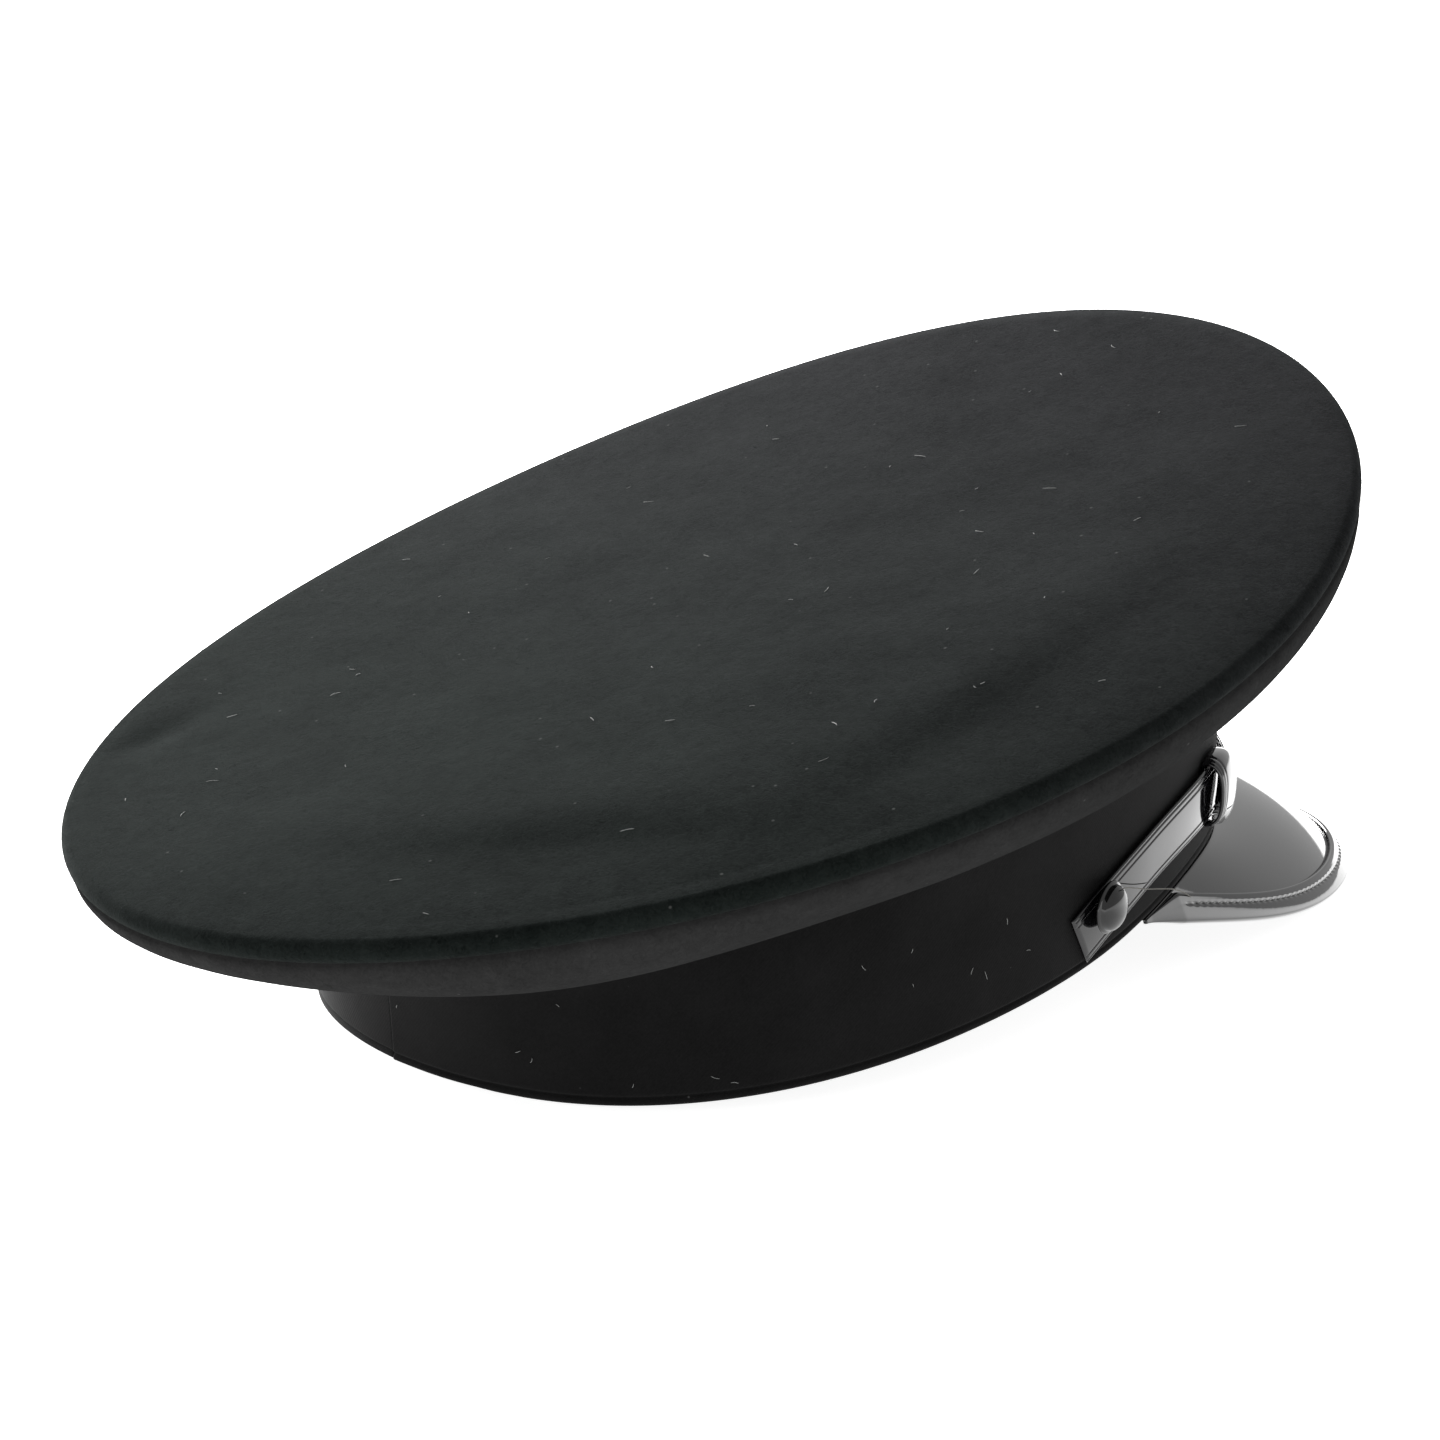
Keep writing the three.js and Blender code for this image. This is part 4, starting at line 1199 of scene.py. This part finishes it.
def loose_thread():
    """The thread that hangs from the button over the band and the corner of the peak."""
    points, faces = rods(smooth_path(LOOSE_THREAD, LOOSE_STEPS)[None], LOOSE_RADIUS, 8)
    return finished("loose_thread", points, faces, [], OLIVE)


def fibres(places, normals, lengths, lift, seed, steps):
    """Short bent fibres that start on a surface and lean over it."""
    draw = np.random.default_rng(seed)
    count = len(places)
    turn = draw.uniform(0, 2 * math.pi, count)
    bend = draw.uniform(-FIBRE_BEND, FIBRE_BEND, count)
    u = unit(np.cross(normals, FIBRE_ASIDE))
    v = np.cross(normals, u)
    paths = [places]
    for k in range(1, steps):
        heading = turn + bend * k / steps
        step = scaled(u, np.cos(heading)) + scaled(v, np.sin(heading))
        step = step + scaled(normals, lift * (1 - k / steps))
        paths.append(paths[-1] + scaled(unit(step), lengths / (steps - 1)))
    return np.stack(paths, axis=1)


def top_face(angle, share):
    """Point of the crown's top or of its rolled rim, and the direction out of it there."""
    on_roll = share > 1
    turn = np.radians(ROLL_START - np.clip(share - 1, 0, 1) * NAP_DOWN_ROLL)
    out = outward(rim_point, angle)
    round_rim = scaled(out, np.cos(turn)) + scaled(UP, np.sin(turn))
    flat = top_point(angle, np.minimum(share, TOP_SHARES[-1]))
    place = np.where(on_roll[:, None], rim_point(angle) + RIM_ROLL_RADIUS * round_rim, flat)
    return place, np.where(on_roll[:, None], round_rim, UP)


def nap():
    """Short hairs of the felt, closest on the rim."""
    draw = np.random.default_rng(11)
    angle = draw.uniform(0, 360, NAP_COUNT)
    on_rim = draw.uniform(0, 1, NAP_COUNT) < NAP_ON_RIM
    down = draw.uniform(1, 2, NAP_COUNT)
    share = np.where(on_rim, down, draw.uniform(*NAP_SHARES, NAP_COUNT) ** 0.5)
    places, normals = top_face(angle, share)
    lengths = draw.uniform(*NAP_LENGTHS, NAP_COUNT)
    paths = fibres(places, normals, lengths, NAP_LIFT, seed=12, steps=4)
    points, faces = rods(paths, NAP_RADIUS, 3)
    return finished("felt_nap", points, faces, [], FELT)


def lint():
    """Pale fibres that lie on the top and on the band."""
    draw = np.random.default_rng(21)
    on_band = np.arange(LINT_COUNT) % LINT_BAND_EVERY == 0
    behind = draw.uniform(*LINT_BAND_ANGLES, LINT_COUNT)
    angle = np.where(on_band, behind, draw.uniform(0, 360, LINT_COUNT))
    places, normals = top_face(angle, draw.uniform(*LINT_SHARES, LINT_COUNT) ** 0.5)
    height = draw.uniform(*LINT_BAND_HEIGHTS, LINT_COUNT)
    on_cloth = beside_band(angle, height, LINT_BAND_OFF)
    places = np.where(on_band[:, None], on_cloth, places + LINT_OFF_TOP * UP)
    normals = np.where(on_band[:, None], band_outward(angle, height), normals)
    lengths = draw.uniform(*LINT_LENGTHS, LINT_COUNT) * np.where(on_band, LINT_BAND_LENGTH, 1.0)
    paths = fibres(places, normals, lengths, LINT_LIFT, seed=22, steps=7)
    points, faces = rods(paths, LINT_RADIUS, 5)
    return finished("pale_lint", points, faces, [], LINT)


# Scene

# The floor's size in metres and the share of light that its paper gives back, with a glow that keeps it
# white; the light of the sky; the key light's place and size in metres and its power in watts
FLOOR_SIZE = 120
PAPER = 0.80
PAPER_GLOW = 0.90
SKY_STRENGTH = 0.6
KEY_PLACE = (1.30, -0.20, 0.60)
KEY_SIZE = 1.0
KEY_POWER = 85.0


def camera():
    """Camera at the photograph's angle."""
    a = math.radians(CAMERA_AZIMUTH)
    e = math.radians(CAMERA_ELEVATION)
    back = Vector((math.sin(a) * math.cos(e), -math.cos(a) * math.cos(e), math.sin(e)))
    data = bpy.data.cameras.new("camera")
    data.lens = CAMERA_LENS
    data.sensor_width = SENSOR_WIDTH
    eye = bpy.data.objects.new("camera", data)
    eye.rotation_mode = "QUATERNION"
    roll = Matrix.Rotation(math.radians(CAMERA_ROLL), 3, back)
    turned = roll @ (-back).to_track_quat("-Z", "Y").to_matrix()
    eye.rotation_quaternion = turned.to_quaternion()
    eye.location = CAMERA_PLACE
    bpy.context.scene.collection.objects.link(eye)
    bpy.context.scene.camera = eye


def studio():
    """Pale floor, white sky and one soft light."""
    bpy.ops.mesh.primitive_plane_add(size=FLOOR_SIZE, location=(0, 0, 0))
    floor = bpy.context.object
    floor.name = "floor"
    paper = Nodes("floor_paper")
    paper.set(Base_Color=(PAPER, PAPER, PAPER, 1), Roughness=0.75)
    paper.set(Emission_Color=(1, 1, 1, 1), Emission_Strength=PAPER_GLOW)
    floor.data.materials.append(paper.material)

    world = bpy.data.worlds.new("studio")
    world.use_nodes = True
    sky = world.node_tree.nodes["Background"]
    sky.inputs["Color"].default_value = (1, 1, 1, 1)
    sky.inputs["Strength"].default_value = SKY_STRENGTH
    bpy.context.scene.world = world
    lamp = bpy.data.lights.new("key", "AREA")
    lamp.size = KEY_SIZE
    lamp.energy = KEY_POWER
    source = bpy.data.objects.new("key", lamp)
    source.location = KEY_PLACE
    source.rotation_euler = (-Vector(KEY_PLACE)).to_track_quat("-Z", "Y").to_euler()
    bpy.context.scene.collection.objects.link(source)
    bpy.context.scene.view_settings.view_transform = "Standard"


camera()
studio()
crown_top()
crown_side()
band()
peak()
peak_binding()
binding_stitches()
strap("patent_strap_right", "strap_right", -STRAP_TAIL_ANGLE, STRAP_INNER_END, False)
strap("patent_strap_left", "strap_left", -STRAP_INNER_END, STRAP_TAIL_ANGLE, True)
for word, side in (("right", -1), ("left", 1)):
    keeper(word, side)
    button(word, side)
loose_thread()
lint()
nap()
